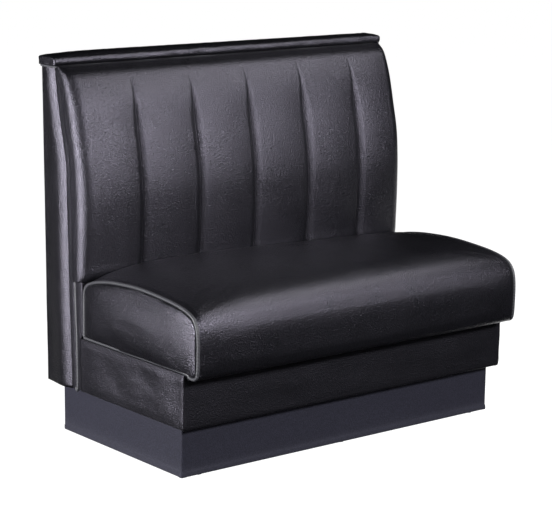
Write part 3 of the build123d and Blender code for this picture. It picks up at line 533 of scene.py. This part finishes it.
def seat_cushion():
    """Crowned cushion under its cover, worn lower at its rear towards the right."""
    middle = smoothed(SEAT_MIDDLE, 5)
    ends = smoothed(SEAT_END, 5)
    columns = 150
    around = len(middle)
    wear = 0.016  # how far the rear has sunk on the right
    tuck = 0.003  # how far the rear edge, and the cover beside each end's seam, are drawn in
    shape = bmesh.new()
    bmesh.ops.create_grid(shape, x_segments=columns, y_segments=around, size=0.5)
    for v in shape.verts:
        # columns crowd towards the ends, where the cushion turns down
        turn = math.pi * round((v.co.x + 0.5) * columns) / columns
        x = -COVER_HALF * math.cos(turn)
        share = min(abs(x) / COVER_HALF, 1.0)
        end = share**5.8 if x < 0 else FULLER * share**6.2
        j = round((v.co.y + 0.5) * around) % around
        depth, height = middle[j] * (1 - end) + ends[j] * end
        worn = wear * ease(-0.25, 0.42, x) * (1 - end)
        height -= worn * (1 - ease(0.22, 0.45, depth)) * ease(0.46, 0.5, height)
        height -= tuck * ease(0.4, 0.48, height) * (1 - ease(0.22, 0.3, depth)) * (1 - end)
        if height > 0.3:
            away = Vector((depth - 0.44, height - 0.39)).normalized()
            pull = tuck * ease(COVER_HALF - 0.014, COVER_HALF, abs(x))
            depth -= away.x * pull
            height -= away.y * pull
        v.co = (x, forward(depth), height)
    bmesh.ops.remove_doubles(shape, verts=shape.verts, dist=1e-6)
    rims = [e for e in shape.edges if e.is_boundary]
    bmesh.ops.holes_fill(shape, edges=rims, sides=0)
    bmesh.ops.recalc_face_normals(shape, faces=shape.faces)
    mesh = as_mesh("seat_cushion", shape)
    # the underside, the ends and the rear stay
    mesh = inflate(
        mesh, 0.0015, lambda p: p.z < 0.31 or abs(p.x) > 0.54 or p.y > forward(0.24)
    )
    return refine(mesh)


cushion = settle(
    "seat_cushion_cover", seat_cushion(), black_vinyl, SEAT, "black_vinyl",
    "seat_top_cover", "seat_soft_foam", "seat_firm_foam", "seat_front_edge_roll",
)


def seat_ring(side, inset):
    """Outline of a seat end as (depth, height), drawn in by a distance."""
    share = 1.0 if side < 0 else FULLER
    line = [
        inner * (1 - share) + outer * share
        for inner, outer in zip(smoothed(SEAT_MIDDLE, 4), smoothed(SEAT_END, 4))
    ]
    drawn = []
    for k, spot in enumerate(line):
        run = line[(k + 1) % len(line)] - line[k - 1]
        drawn.append(spot + Vector((run.y, -run.x)).normalized() * inset)
    return drawn


def seat_end(side):
    """Padded panel in a seat end: domed, steeper towards the front, with a soft dent or two."""
    low, high = sorted((side * 0.5665, side * 0.5735))
    shape = slab(seat_ring(side, 0.0075), low, high)
    panel = bake(shape, "REMESH", mode="VOXEL", voxel_size=0.006)
    middle_depth, middle_height = 0.43, 0.382
    for v in panel.vertices:
        if side * v.co.x > 0.57:
            ahead = REAR - v.co.y - middle_depth
            across = ahead / (0.286 if ahead > 0 else 0.25)
            up = (v.co.z - middle_height) / 0.09
            bow = 2.4 if across > 0 else 4.0
            dome = max(0.0, 1 - abs(across) ** bow) ** 0.9 * max(0.0, 1 - abs(up) ** 2.6) ** 0.75
            dent = noise.noise(Vector((across * 2.2, up * 1.6, 5.1 * side)))
            v.co.x += side * (0.0135 + 0.003 * dent) * dome
    panel = inflate(panel, 0.003, lambda p: side * p.x < 0.5725)
    return refine(panel)


for side, label in ((-1, "left"), (1, "right")):
    ring = [
        (side * SEAT_WELT_X, forward(depth), height)
        for depth, height in seat_ring(side, SEAT_WELT - 0.0005)
    ]
    settle(
        f"seat_{label}_cord_welt", tube(ring, SEAT_WELT, closed=True, sides=12), seat_welt_vinyl,
        SEAT, "welt_vinyl", f"seat_{label}_welt",
    )
    end_panel = settle(
        f"seat_{label}_end_padding", seat_end(side), black_vinyl, SEAT, "black_vinyl",
        f"seat_{label}_end_panel",
    )


# Back: fluted pad


def channel_place(share, channel, shoulder, face, height):
    """X and depth at a share of one channel's width: bowed, and grooved along its seams."""
    edges = [-shoulder, *SEAMS, shoulder]
    low, high = edges[channel], edges[channel + 1]
    first, last = channel == 0, channel == len(SEAMS)
    # columns crowd towards the seams
    if first:
        share = math.sin(math.pi * share / 2)
    elif last:
        share = 1 - math.cos(math.pi * share / 2)
    else:
        share = 0.5 - 0.5 * math.cos(math.pi * share)
    x = low + (high - low) * share
    across = 2 * share - 1
    outer = (first and across < 0) or (last and across > 0)
    bow = (0.003 if outer else 0.0068) * across**2
    # the seams stop short of the cap, and the channels run out above them
    fade = 1 - ease(0.86, 1.01, height)
    bow *= max(fade, 1 if outer else 0.25)
    near = min(9 if first else x - low, 9 if last else high - x)
    bevel = max(0.0, 1 - near / (0.004 + 0.0125 * fade)) ** 1.08
    stitch = math.exp(-near / 0.002)
    groove = (0.0058 * bevel + 0.002 * stitch) * fade
    groove += 0.001 * bevel * (1 - ease(0.98, 1.02, height))
    return x, face - bow - groove


def fluted_pad():
    """Cover of the fluted pad: sewn channels that fade out below the cap, and rounded ends."""
    flat = 6  # columns up each side, before its edge is rounded
    wrap = 22  # columns to the end of the rounded edge
    part = 28  # columns to a channel
    columns = 2 * wrap + (len(SEAMS) + 1) * part
    under = 0.08  # share of the rows that turn in below the pad
    sheet = bmesh.new()
    bmesh.ops.create_grid(sheet, x_segments=columns, y_segments=170, size=0.5)
    for v in sheet.verts:
        u = round((v.co.x + 0.5) * columns)
        w = v.co.y + 0.5
        reach = min(w / under, 1.0)
        height = PAD_BOTTOM + (CAP_BOTTOM - PAD_BOTTOM) * max(w - under, 0) / (1 - under)
        face = along(PAD_FACE, height)
        rim = along(WELT_EDGE, height) + WELT_CLEAR
        corner = rim + (face - rim) * 0.34
        radius = face - 0.003 - corner
        shoulder = PAD_HALF - radius
        side = -1 if u < columns / 2 else 1
        step = min(u, columns - u)
        if step <= flat:
            x = side * PAD_HALF
            depth = rim + (corner - rim) * step / flat
        elif step <= wrap:
            turn = math.pi / 2 * (step - flat) / (wrap - flat)
            x = side * (shoulder + radius * math.cos(turn))
            depth = corner + radius * math.sin(turn)
        else:
            channel = min((u - wrap) // part, len(SEAMS))
            share = (u - wrap - part * channel) / part
            x, depth = channel_place(share, channel, shoulder, face, height)
        drift = 0.0007 * noise.noise(Vector((x * 9, height * 7, 3.3))) * ease(0.46, 0.52, height)
        v.co = (x, forward(rim + (depth - rim + drift) * reach), height)
    face_out(sheet, lambda place: Vector((0, -1, 0)))
    return backed(sheet, 0.0015)


pad = settle(
    "back_fluted_cover", fluted_pad(), black_vinyl, BOOTH, "black_vinyl",
    "back_channel_cover", "back_pad_foam",
)


# Back: padded sides, gussets, welts, and the padded layer behind the seat

BACK_WELT = 0.0045
BACK_WELT_X = 0.5705


def side_swell(height):
    """How far the padded side stands out beyond the frame at its rear, more towards the cap."""
    return 0.002 + 0.008 * (height - PLINTH_TOP) / (CAP_BOTTOM - PLINTH_TOP)


def padded_side(side):
    """Vinyl over a thin pad: tight round the rear edge, swollen, then falling to the gusset."""
    # shares of the sheet's width at which each stretch ends, and the radii of its two turns
    roll_end, swell_end, fall_end = 0.15, 0.45, 0.92
    roll, seam = 0.004, 0.0012
    sheet = bmesh.new()
    bmesh.ops.create_grid(sheet, x_segments=44, y_segments=110, size=0.5)
    for v in sheet.verts:
        height = PLINTH_TOP + (CAP_BOTTOM - PLINTH_TOP) * (v.co.y + 0.5)
        share = v.co.x + 0.5
        edge = along(FRAME_EDGE, height)
        swell = side_swell(height)
        full = max(swell, 0.0105)
        fall = min(0.035, edge * 0.6)
        if share < roll_end:
            turn = share / roll_end * math.pi / 2
            depth = roll * (1 - math.cos(turn))
            out = swell - roll * (1 - math.sin(turn))
        elif share < swell_end:
            t = (share - roll_end) / (swell_end - roll_end)
            depth = roll + (edge - fall - roll) * t
            out = swell + (full - swell) * ease(0, 1, t)
        elif share < fall_end:
            t = (share - swell_end) / (fall_end - swell_end)
            depth = edge - fall + (fall - seam) * t
            out = full - (full - 0.001) * t * t
        else:
            turn = (share - fall_end) / (1 - fall_end) * math.pi / 2
            depth = edge - seam * (1 - math.sin(turn))
            out = 0.001 - 0.003 * (1 - math.cos(turn))
        ripple = noise.noise(Vector((side * 3.1, depth * 18, height * 7)))
        creases = noise.noise(Vector((side * 7.7, depth * 70 + height * 12, height * 30)))
        out += 0.0007 * ripple + 0.0002 * creases
        v.co = (side * (HALF + out), forward(depth), height)
    face_out(sheet, lambda place: Vector((side, 0, 0)))
    return backed(sheet, 0.0012)


def band(rear, front, low, high, steps=36):
    """Outline of (depth, height) points between two curved edges."""
    heights = [low + (high - low) * k / steps for k in range(steps + 1)]
    return [(front(h), h) for h in heights] + [(rear(h), h) for h in reversed(heights)]


def rolled_slab(outline, low_x, high_x, radius):
    """A slab whose edges on both X sides are rolled over."""
    shape = slab(outline, low_x, high_x)
    rims = [e for e in shape.edges if abs(e.verts[0].co.x - e.verts[1].co.x) < 1e-6]
    bmesh.ops.bevel(
        shape, geom=rims, offset=radius, offset_type="OFFSET", segments=4, profile=0.5,
        affect="EDGES", material=-1, clamp_overlap=True,
    )
    return shape


for side, label in ((-1, "left"), (1, "right")):
    settle(
        f"back_{label}_side_vinyl", padded_side(side), side_vinyl, BOOTH, "black_vinyl",
        f"back_{label}_side_cover",
    )
    # at its foot the welt turns in under the frame's edge
    foot_height, foot_depth = WELT_EDGE[0]
    run = [(foot_depth - 0.010, foot_height + 0.0045), (foot_depth - 0.002, foot_height + 0.006)]
    run += [(depth, height) for height, depth in WELT_EDGE[1:]]
    path = smoothed(
        [(side * BACK_WELT_X, forward(depth), height) for depth, height in run], 5, closed=False
    )
    settle(
        f"back_{label}_cord_welt", tube(path, BACK_WELT), back_welt_vinyl, BOOTH, "welt_vinyl",
        f"back_{label}_welt",
    )

gusset_outline = band(
    lambda h: along(FRAME_EDGE, h) - 0.005, lambda h: along(WELT_EDGE, h) - WELT_CLEAR,
    PLINTH_TOP, CAP_BOTTOM,
)
gussets = bmesh.new()
for side in (-1, 1):
    low, high = sorted((side * 0.5655, side * 0.5742))
    gussets.from_mesh(as_mesh("gusset", rolled_slab(gusset_outline, low, high, 0.0028)))
settle(
    "back_gusset_strips", as_mesh("gussets", gussets), box_vinyl, BOOTH, "black_vinyl",
    "back_gussets",
)


def lower_front(height):
    """Depth of the lower padded layer's face, which swells against the rear of the seat."""
    flat = along(WELT_EDGE, height) + 0.022
    return flat + (0.178 - flat) * ease(0.293, 0.3, height)


LOWER_HALF = 0.5738
lower_outline = band(
    lambda h: along(WELT_EDGE, h) + 0.0035, lower_front, PLINTH_TOP, PAD_BOTTOM - 0.0003, 90
)
lower_layer = rolled_slab(lower_outline, -LOWER_HALF, LOWER_HALF, 0.006)
lower_cover = settle(
    "back_lower_padded_cover", as_mesh("lower_layer", lower_layer), box_vinyl, BOOTH,
    "black_vinyl", "back_lower_cover", "back_lower_padding",
)


def outside_back():
    """Flat outside cover of the back, pulled over a thin panel, with faint ripples."""
    sheet = bmesh.new()
    bmesh.ops.create_grid(sheet, x_segments=120, y_segments=90, size=0.5)
    for v in sheet.verts:
        height = PLINTH_TOP + (CAP_BOTTOM - PLINTH_TOP) * (v.co.y + 0.5)
        half = HALF + side_swell(height) - 0.0035
        x = 2 * half * v.co.x
        ripple = 0.0005 * noise.noise(Vector((x * 5, height * 11, 4.2)))
        edge = 0.0012 * ease(half - 0.012, half, abs(x))
        v.co = (x, REAR - 0.0002 - edge - abs(ripple), height)
    face_out(sheet, lambda place: Vector((0, 1, 0)))
    return backed(sheet, 0.001)


settle(
    "back_outside_vinyl", outside_back(), side_vinyl, BOOTH, "black_vinyl", "back_outer_cover"
)

# Cap rail

CAP_HALF = 0.593
CAP_DEPTH = 0.076
CAP_WELT = 0.0034
CAP_WELT_HALF = 0.5873
CAP_WELT_HEIGHT = 1.0392


def cap_rail():
    """Padded cap: rolled top edges, a bowed front lip, a crown that is higher on the left, and
    small tucks where it turns the corners."""
    block = bmesh.new()
    bmesh.ops.create_cube(block, size=1.0)
    bmesh.ops.scale(
        block, verts=block.verts, vec=(2 * CAP_HALF, CAP_DEPTH, BOOTH_TOP - CAP_BOTTOM + 0.0008)
    )
    bmesh.ops.translate(
        block, verts=block.verts,
        vec=(0, forward(CAP_DEPTH / 2), (BOOTH_TOP + CAP_BOTTOM - 0.0008) / 2),
    )
    uprights = [
        e for e in block.edges
        if abs(e.verts[0].co.z - e.verts[1].co.z) > 0.01 and e.verts[0].co.y < forward(0.05)
    ]
    bmesh.ops.bevel(
        block, geom=uprights, offset=0.007, offset_type="OFFSET", segments=6, profile=0.5,
        affect="EDGES", material=-1,
    )
    top_rim = [
        e for e in block.edges
        if min(e.verts[0].co.z, e.verts[1].co.z) > BOOTH_TOP - 0.0005
        and not all(v.co.y > forward(0.0005) for v in e.verts)
    ]
    bmesh.ops.bevel(
        block, geom=top_rim, offset=0.0069, offset_type="OFFSET", segments=6, profile=0.5,
        affect="EDGES", material=-1,
    )
    # cuts for the soft shape: every 5 mm along the cap, 7.5 mm across it and 2.4 mm up it
    cuts = [((x * 0.005, 0, 0), (1, 0, 0)) for x in range(-116, 117)]
    cuts += [((0, forward(d * 0.0075), 0), (0, 1, 0)) for d in range(1, 9)]
    cuts += [((0, 0, CAP_BOTTOM + 0.0024 * k), (0, 0, 1)) for k in range(1, 8)]
    for spot, normal in cuts:
        bmesh.ops.bisect_plane(
            block, geom=list(block.verts) + list(block.edges) + list(block.faces),
            plane_co=spot, plane_no=normal,
        )
    for v in block.verts:
        x, y, z = v.co
        across = min(max((REAR - y) / CAP_DEPTH, 0), 1)
        upper = ease(CAP_BOTTOM + 0.008, BOOTH_TOP - 0.004, z)
        wave = noise.noise(Vector((x * 16, 1.7, z * 20)))
        small = noise.noise(Vector((x * 60 + z * 40, y * 50, z * 70)))
        tucks = ease(0.53, 0.585, abs(x))
        lip = ease(0.72, 0.95, across)
        crown = (0.0035 + 0.006 * max(0.0, 0.4 - x)) * (1 - (x / 0.6) ** 10)
        v.co.z += upper * crown * math.sin(math.pi * min(1.08 * across, 1)) ** 0.6
        v.co.z += upper * (0.0004 + 0.0009 * tucks) * small
        level = min(max((z - CAP_BOTTOM) / (BOOTH_TOP - CAP_BOTTOM), 0), 1)
        v.co.y -= lip * (0.0008 + 0.0045 * math.sin(math.pi * level**0.8) * (1 + 0.4 * wave))
        v.co.y -= lip * (0.0014 * wave + 0.0005 * small)
        v.co.x += math.copysign(0.0012, x) * tucks * upper
    return bake(block, "TRIANGULATE")


cap = settle(
    "cap_padded_cover", cap_rail(), black_vinyl, BOOTH, "black_vinyl", "cap_cover", "cap_padding"
)


def cap_welt_path():
    """Line under the cap's front edge and round both its sides, a little uneven as sewn."""
    corner = [(-CAP_WELT_HALF, 0.003), (-CAP_WELT_HALF, 0.030), (-CAP_WELT_HALF, 0.060)]
    corner += [(-CAP_WELT_HALF + 0.0015, 0.0705), (-CAP_WELT_HALF + 0.006, 0.0728)]
    run = list(corner)
    run += [(-0.57 + 1.14 * k / 60, 0.0732) for k in range(61)]
    run += [(-x, depth) for x, depth in reversed(corner)]
    line = []
    for x, depth in run:
        drift = 0.0006 * noise.noise(Vector((x * 9, depth, 2.2)))
        rise = 0.0007 * noise.noise(Vector((x * 8, depth * 9, 7.1)))
        line.append((x, forward(depth + drift), CAP_WELT_HEIGHT + rise))
    return smoothed(line, 3, closed=False)


settle(
    "cap_cord_welt", tube(cap_welt_path(), CAP_WELT), back_welt_vinyl, BOOTH, "welt_vinyl",
    "cap_welt",
)


# Seat box and plinth: vinyl wrapped round boards


def round_plan(corners, radius, spacing, closed):
    """Plan line of (x, depth) points with rounded corners, and outward directions."""
    steps = 4  # to each rounded corner
    line = []
    count = len(corners)
    for k in range(count):
        here = Vector(corners[k])
        if not closed and k in (0, count - 1):
            line.append((here, None))
            continue
        back = (Vector(corners[k - 1]) - here).normalized()
        ahead = (Vector(corners[(k + 1) % count]) - here).normalized()
        centre = here + (back + ahead) * radius
        for step in range(steps + 1):
            angle = math.pi / 2 * step / steps
            out = -(ahead * math.cos(angle) + back * math.sin(angle))
            line.append((centre + out * radius, out))
    full = []
    pairs = list(zip(line, line[1:] + line[:1])) if closed else list(zip(line, line[1:]))
    for (a, out_a), (b, out_b) in pairs:
        out = out_a if out_a is not None else out_b
        pieces = max(1, int((b - a).length / spacing))
        for k in range(pieces):
            t = k / pieces
            if out_a is not None and out_b is not None:
                out = (out_a * (1 - t) + out_b * t).normalized()
            full.append((a * (1 - t) + b * t, out))
    if not closed:
        full.append((line[-1][0], line[-2][1]))
    return full


def wrapped(plan, profile, closed, finish):
    """Sheet that follows a plan line with a profile of (out, height) points.
    """
    columns = len(plan) if closed else len(plan) - 1
    rows = len(profile) - 1
    sheet = bmesh.new()
    bmesh.ops.create_grid(sheet, x_segments=columns, y_segments=rows, size=0.5)
    for v in sheet.verts:
        u = round((v.co.x + 0.5) * columns)
        w = round((v.co.y + 0.5) * rows)
        place, out = plan[u % len(plan)]
        reach, height = profile[w]
        reach, height = finish(place, out, reach, height)
        spot = place + out * reach
        v.co = (spot.x, forward(spot.y), height)
    bmesh.ops.remove_doubles(sheet, verts=sheet.verts, dist=0.00005)
    centre = Vector((0, 0, 0))
    for place, out in plan:
        centre += Vector((place.x, forward(place.y), 0)) / len(plan)

    def outward(place):
        flat = Vector((place.x - centre.x, place.y - centre.y, 0))
        return flat.normalized()

    face_out(sheet, outward)
    return backed(sheet, 0.0012)


def box_profile():
    """From the hem inside the box's top edge, over it, down the outside and under the bottom."""
    points = [(-0.022, 0.2925), (-0.012, 0.2925), (-0.004, 0.2925), (-0.0014, 0.2925)]
    points += [(-0.0002, 0.2921), (0.0002, 0.291), (0.0, 0.2885)]
    points += [(0.0, 0.2885 - 0.1445 * k / 26) for k in range(1, 27)]
    points += [(-0.0008, 0.1415), (-0.003, 0.1402), (-0.007, 0.1398), (-0.013, 0.1398)]
    return points


def box_finish(place, out, reach, height):
    """Slack and pulls in the box's vinyl, more of them on its two sides."""
    mid = ease(0.141, 0.165, height) * (1 - ease(0.272, 0.291, height))
    on_side = abs(out.x)
    drift = noise.noise(Vector((place.x * 4 + 3, place.y * 11 + height * 9, height * 16)))
    pulls = noise.noise(Vector((place.y * 42 - height * 30, height * 50, out.x * 3 + place.x * 5)))
    amount = mid * (0.0009 + 0.0022 * on_side) * (0.5 + drift)
    amount += mid * (0.0001 + 0.0007 * on_side) * (0.5 + pulls)
    return reach + 0.0005 + max(amount, 0.0), height


BOX_REAR, BOX_FRONT = 0.1688, 0.655
box_plan = round_plan(
    [(-HALF, BOX_REAR), (-HALF, BOX_FRONT), (HALF, BOX_FRONT), (HALF, BOX_REAR)],
    0.003, 0.008, False,
)
settle(
    "seat_box_wrapped_vinyl", wrapped(box_plan, box_profile(), False, box_finish), box_vinyl,
    BOOTH, "black_vinyl", "seat_box_cover",
)

PLINTH_HALF, PLINTH_REAR, PLINTH_FRONT = 0.557, 0.054, 0.624


def plinth_profile():
    """From the top edge down the outside, over a doubled hem, and under the boards."""
    points = [(-0.0015, 0.1408), (-0.0005, 0.1402)]
    points += [(0.0, 0.1395 - 0.1235 * k / 22) for k in range(23)]
    points += [(0.0009, 0.0145), (0.0013, 0.0125), (0.0014, 0.0075), (0.0012, 0.0035)]
    points += [(0.0002, 0.0018), (-0.0025, 0.0014), (-0.008, 0.0014), (-0.016, 0.0014)]
    return points


def plinth_finish(place, out, reach, height):
    """Faint slack, a lap of the front's vinyl round each front corner, and its thicker foot."""
    mid = ease(0.015, 0.04, height) * (1 - ease(0.12, 0.139, height))
    drift = noise.noise(Vector((place.x * 5, place.y * 6 + 8, height * 12)))
    lap = foot = 0.0
    if abs(out.x) > 0.3 and place.y > 0.6:
        lap = 0.0012 * ease(0.6125, 0.6145, place.y)
    if abs(place.x) > 0.54 and place.y > 0.61:
        foot = 0.0012 * (1 - ease(0.002, 0.02, height))
    return reach + lap + foot + 0.0008 * mid * drift, height


plinth_plan = round_plan(
    [
        (-PLINTH_HALF, PLINTH_REAR), (-PLINTH_HALF, PLINTH_FRONT),
        (PLINTH_HALF, PLINTH_FRONT), (PLINTH_HALF, PLINTH_REAR),
    ],
    0.005, 0.007, True,
)
settle(
    "plinth_wrapped_vinyl", wrapped(plinth_plan, plinth_profile(), True, plinth_finish),
    slate_vinyl, BOOTH, "slate_vinyl", "plinth_cover",
)


# Stage, lights and camera


def photo_camera():
    """Camera at the photograph's place, with its lens, turn and tilt."""
    camera = bpy.data.cameras.new("photo_camera")
    camera.sensor_width = 36.0
    camera.lens = 132.76
    camera.clip_end = 200.0
    holder = set_down("photo_camera", camera)
    azimuth, elevation, roll = math.radians(38.75), math.radians(11.80), math.radians(0.66)
    ahead = Vector(
        (math.sin(azimuth) * math.cos(elevation), math.cos(azimuth) * math.cos(elevation),
         -math.sin(elevation))
    )
    right = ahead.cross(Vector((0, 0, 1))).normalized()
    up = right.cross(ahead)
    right_rolled = math.cos(roll) * right + math.sin(roll) * up
    up_rolled = math.cos(roll) * up - math.sin(roll) * right
    turn = Matrix((right_rolled, up_rolled, -ahead)).transposed().to_4x4()
    holder.matrix_world = Matrix.Translation((-3.588, -4.426, 1.675)) @ turn
    bpy.context.scene.camera = holder


def softbox(name, place, target, width, height, power):
    """A rectangular lamp that points at a target."""
    lamp = bpy.data.lights.new(name, "AREA")
    lamp.shape = "RECTANGLE"
    lamp.size = width
    lamp.size_y = height
    lamp.energy = power
    holder = set_down(name, lamp)
    holder.location = place
    holder.rotation_euler = (Vector(target) - Vector(place)).to_track_quat("-Z", "Y").to_euler()
    holder.visible_camera = False


def flag(name, place, turn, width, height, cloth):
    """A black card that only reflections see."""
    card = bmesh.new()
    bmesh.ops.create_grid(card, x_segments=1, y_segments=1, size=0.5)
    bmesh.ops.scale(card, verts=card.verts, vec=(width, height, 1))
    angles = Euler([math.radians(angle) for angle in turn])
    turned = Matrix.Translation(place) @ angles.to_matrix().to_4x4()
    bmesh.ops.transform(card, verts=card.verts, matrix=turned)
    holder = set_down(name, as_mesh(name, card))
    holder.data.materials.append(cloth)
    holder.visible_camera = False
    holder.visible_diffuse = False
    holder.visible_shadow = False


def plainly_seen(tree):
    """1 for camera, glossy and transmitted rays, and 0 for the light that falls on pieces."""
    path = add_node(tree, "ShaderNodeLightPath")
    seen = path.outputs["Is Camera Ray"]
    for ray in ("Is Glossy Ray", "Is Transmission Ray"):
        seen = add_node(
            tree, "ShaderNodeMath", {"operation": "MAXIMUM"}, i0=seen, i1=path.outputs[ray]
        ).outputs[0]
    return seen


def studio_floor():
    """Pale floor: matte, and lit from itself where it is seen, so that it reads as white."""
    disc = bmesh.new()
    bmesh.ops.create_circle(disc, cap_ends=True, segments=64, radius=40.0)
    floor = set_down("studio_floor", as_mesh("studio_floor", disc))
    paint = bpy.data.materials.new("studio_white")
    paint.use_nodes = True
    tree = paint.node_tree
    tree.nodes.clear()
    glow = add_node(tree, "ShaderNodeEmission", Color=(1, 1, 1, 1), Strength=0.955)
    matte = add_node(tree, "ShaderNodeBsdfDiffuse", Color=(0.2, 0.2, 0.2, 1)).outputs[0]
    both = add_node(tree, "ShaderNodeAddShader", i0=glow.outputs[0], i1=matte).outputs[0]
    shown = add_node(tree, "ShaderNodeMixShader", i0=plainly_seen(tree), i1=matte, i2=both)
    add_node(tree, "ShaderNodeOutputMaterial", Surface=shown.outputs[0])
    floor.data.materials.append(paint)


def studio_world():
    """White surroundings that light the pieces only faintly."""
    world = bpy.data.worlds.new("studio_world")
    bpy.context.scene.world = world
    world.use_nodes = True
    tree = world.node_tree
    tree.nodes.clear()
    ambient = add_node(tree, "ShaderNodeBackground", Color=(1, 1, 1, 1), Strength=0.22).outputs[0]
    white = add_node(tree, "ShaderNodeBackground", Color=(1, 1, 1, 1), Strength=1.0).outputs[0]
    shown = add_node(tree, "ShaderNodeMixShader", i0=plainly_seen(tree), i1=ambient, i2=white)
    add_node(tree, "ShaderNodeOutputWorld", Surface=shown.outputs[0])


def studio_lamps():
    """Soft lamps: a long one in front for the fluted back and the seat's roll, one overhead, and
    two on the left. Each: place, target, width, height, power."""
    softbox("front_softbox", (0.15, -2.8, 1.76), (0.15, 0.15, 0.8), 3.6, 0.45, 184)
    softbox("overhead_softbox", (1.1, -0.9, 2.4), (0, -0.3, 0.45), 1.6, 0.7, 42)
    softbox("left_softbox", (-3.15, 0.5, 0.5), (-0.55, 0.05, 0.5), 1.2, 1.5, 260)
    softbox("left_rear_softbox", (-2.85, 1.3, 0.5), (-0.55, 0.05, 0.5), 0.8, 1.4, 4)


def studio_flags():
    """Black cards out of the picture, which keep the white floor and the white beyond it out of
    the vinyl's reflections. Each: place, turn in degrees, width, height."""
    cloth = bpy.data.materials.new("black_flag_cloth")
    cloth.use_nodes = True
    shader = cloth.node_tree.nodes["Principled BSDF"]
    shader.inputs["Base Color"].default_value = linear("#050505")
    shader.inputs["Specular IOR Level"].default_value = 0.0
    flag("front_flag", (1.0, -2.84, 0.02), (0, 0, 0), 9.0, 5.14, cloth)
    flag("front_low_flag", (1.0, -5.4, 0.6), (90, 0, 0), 9.0, 1.2, cloth)
    flag("left_flag", (-4.4, -0.5, 1.6), (90, 0, -90), 8.4, 3.3, cloth)
    flag("rear_flag", (0.0, 3.6, 1.6), (90, 0, 0), 9.4, 3.3, cloth)
    flag("right_flag", (4.4, -0.5, 1.6), (90, 0, 90), 8.4, 3.3, cloth)
    flag("top_flag", (0.0, -0.5, 3.2), (0, 0, 0), 9.0, 8.4, cloth)
    flag("left_floor_flag", (-2.72, 1.2, 0.02), (0, 0, 0), 4.3, 5.0, cloth)


photo_camera()
studio_floor()
studio_world()
studio_lamps()
studio_flags()
bpy.context.scene.view_settings.view_transform = "Standard"
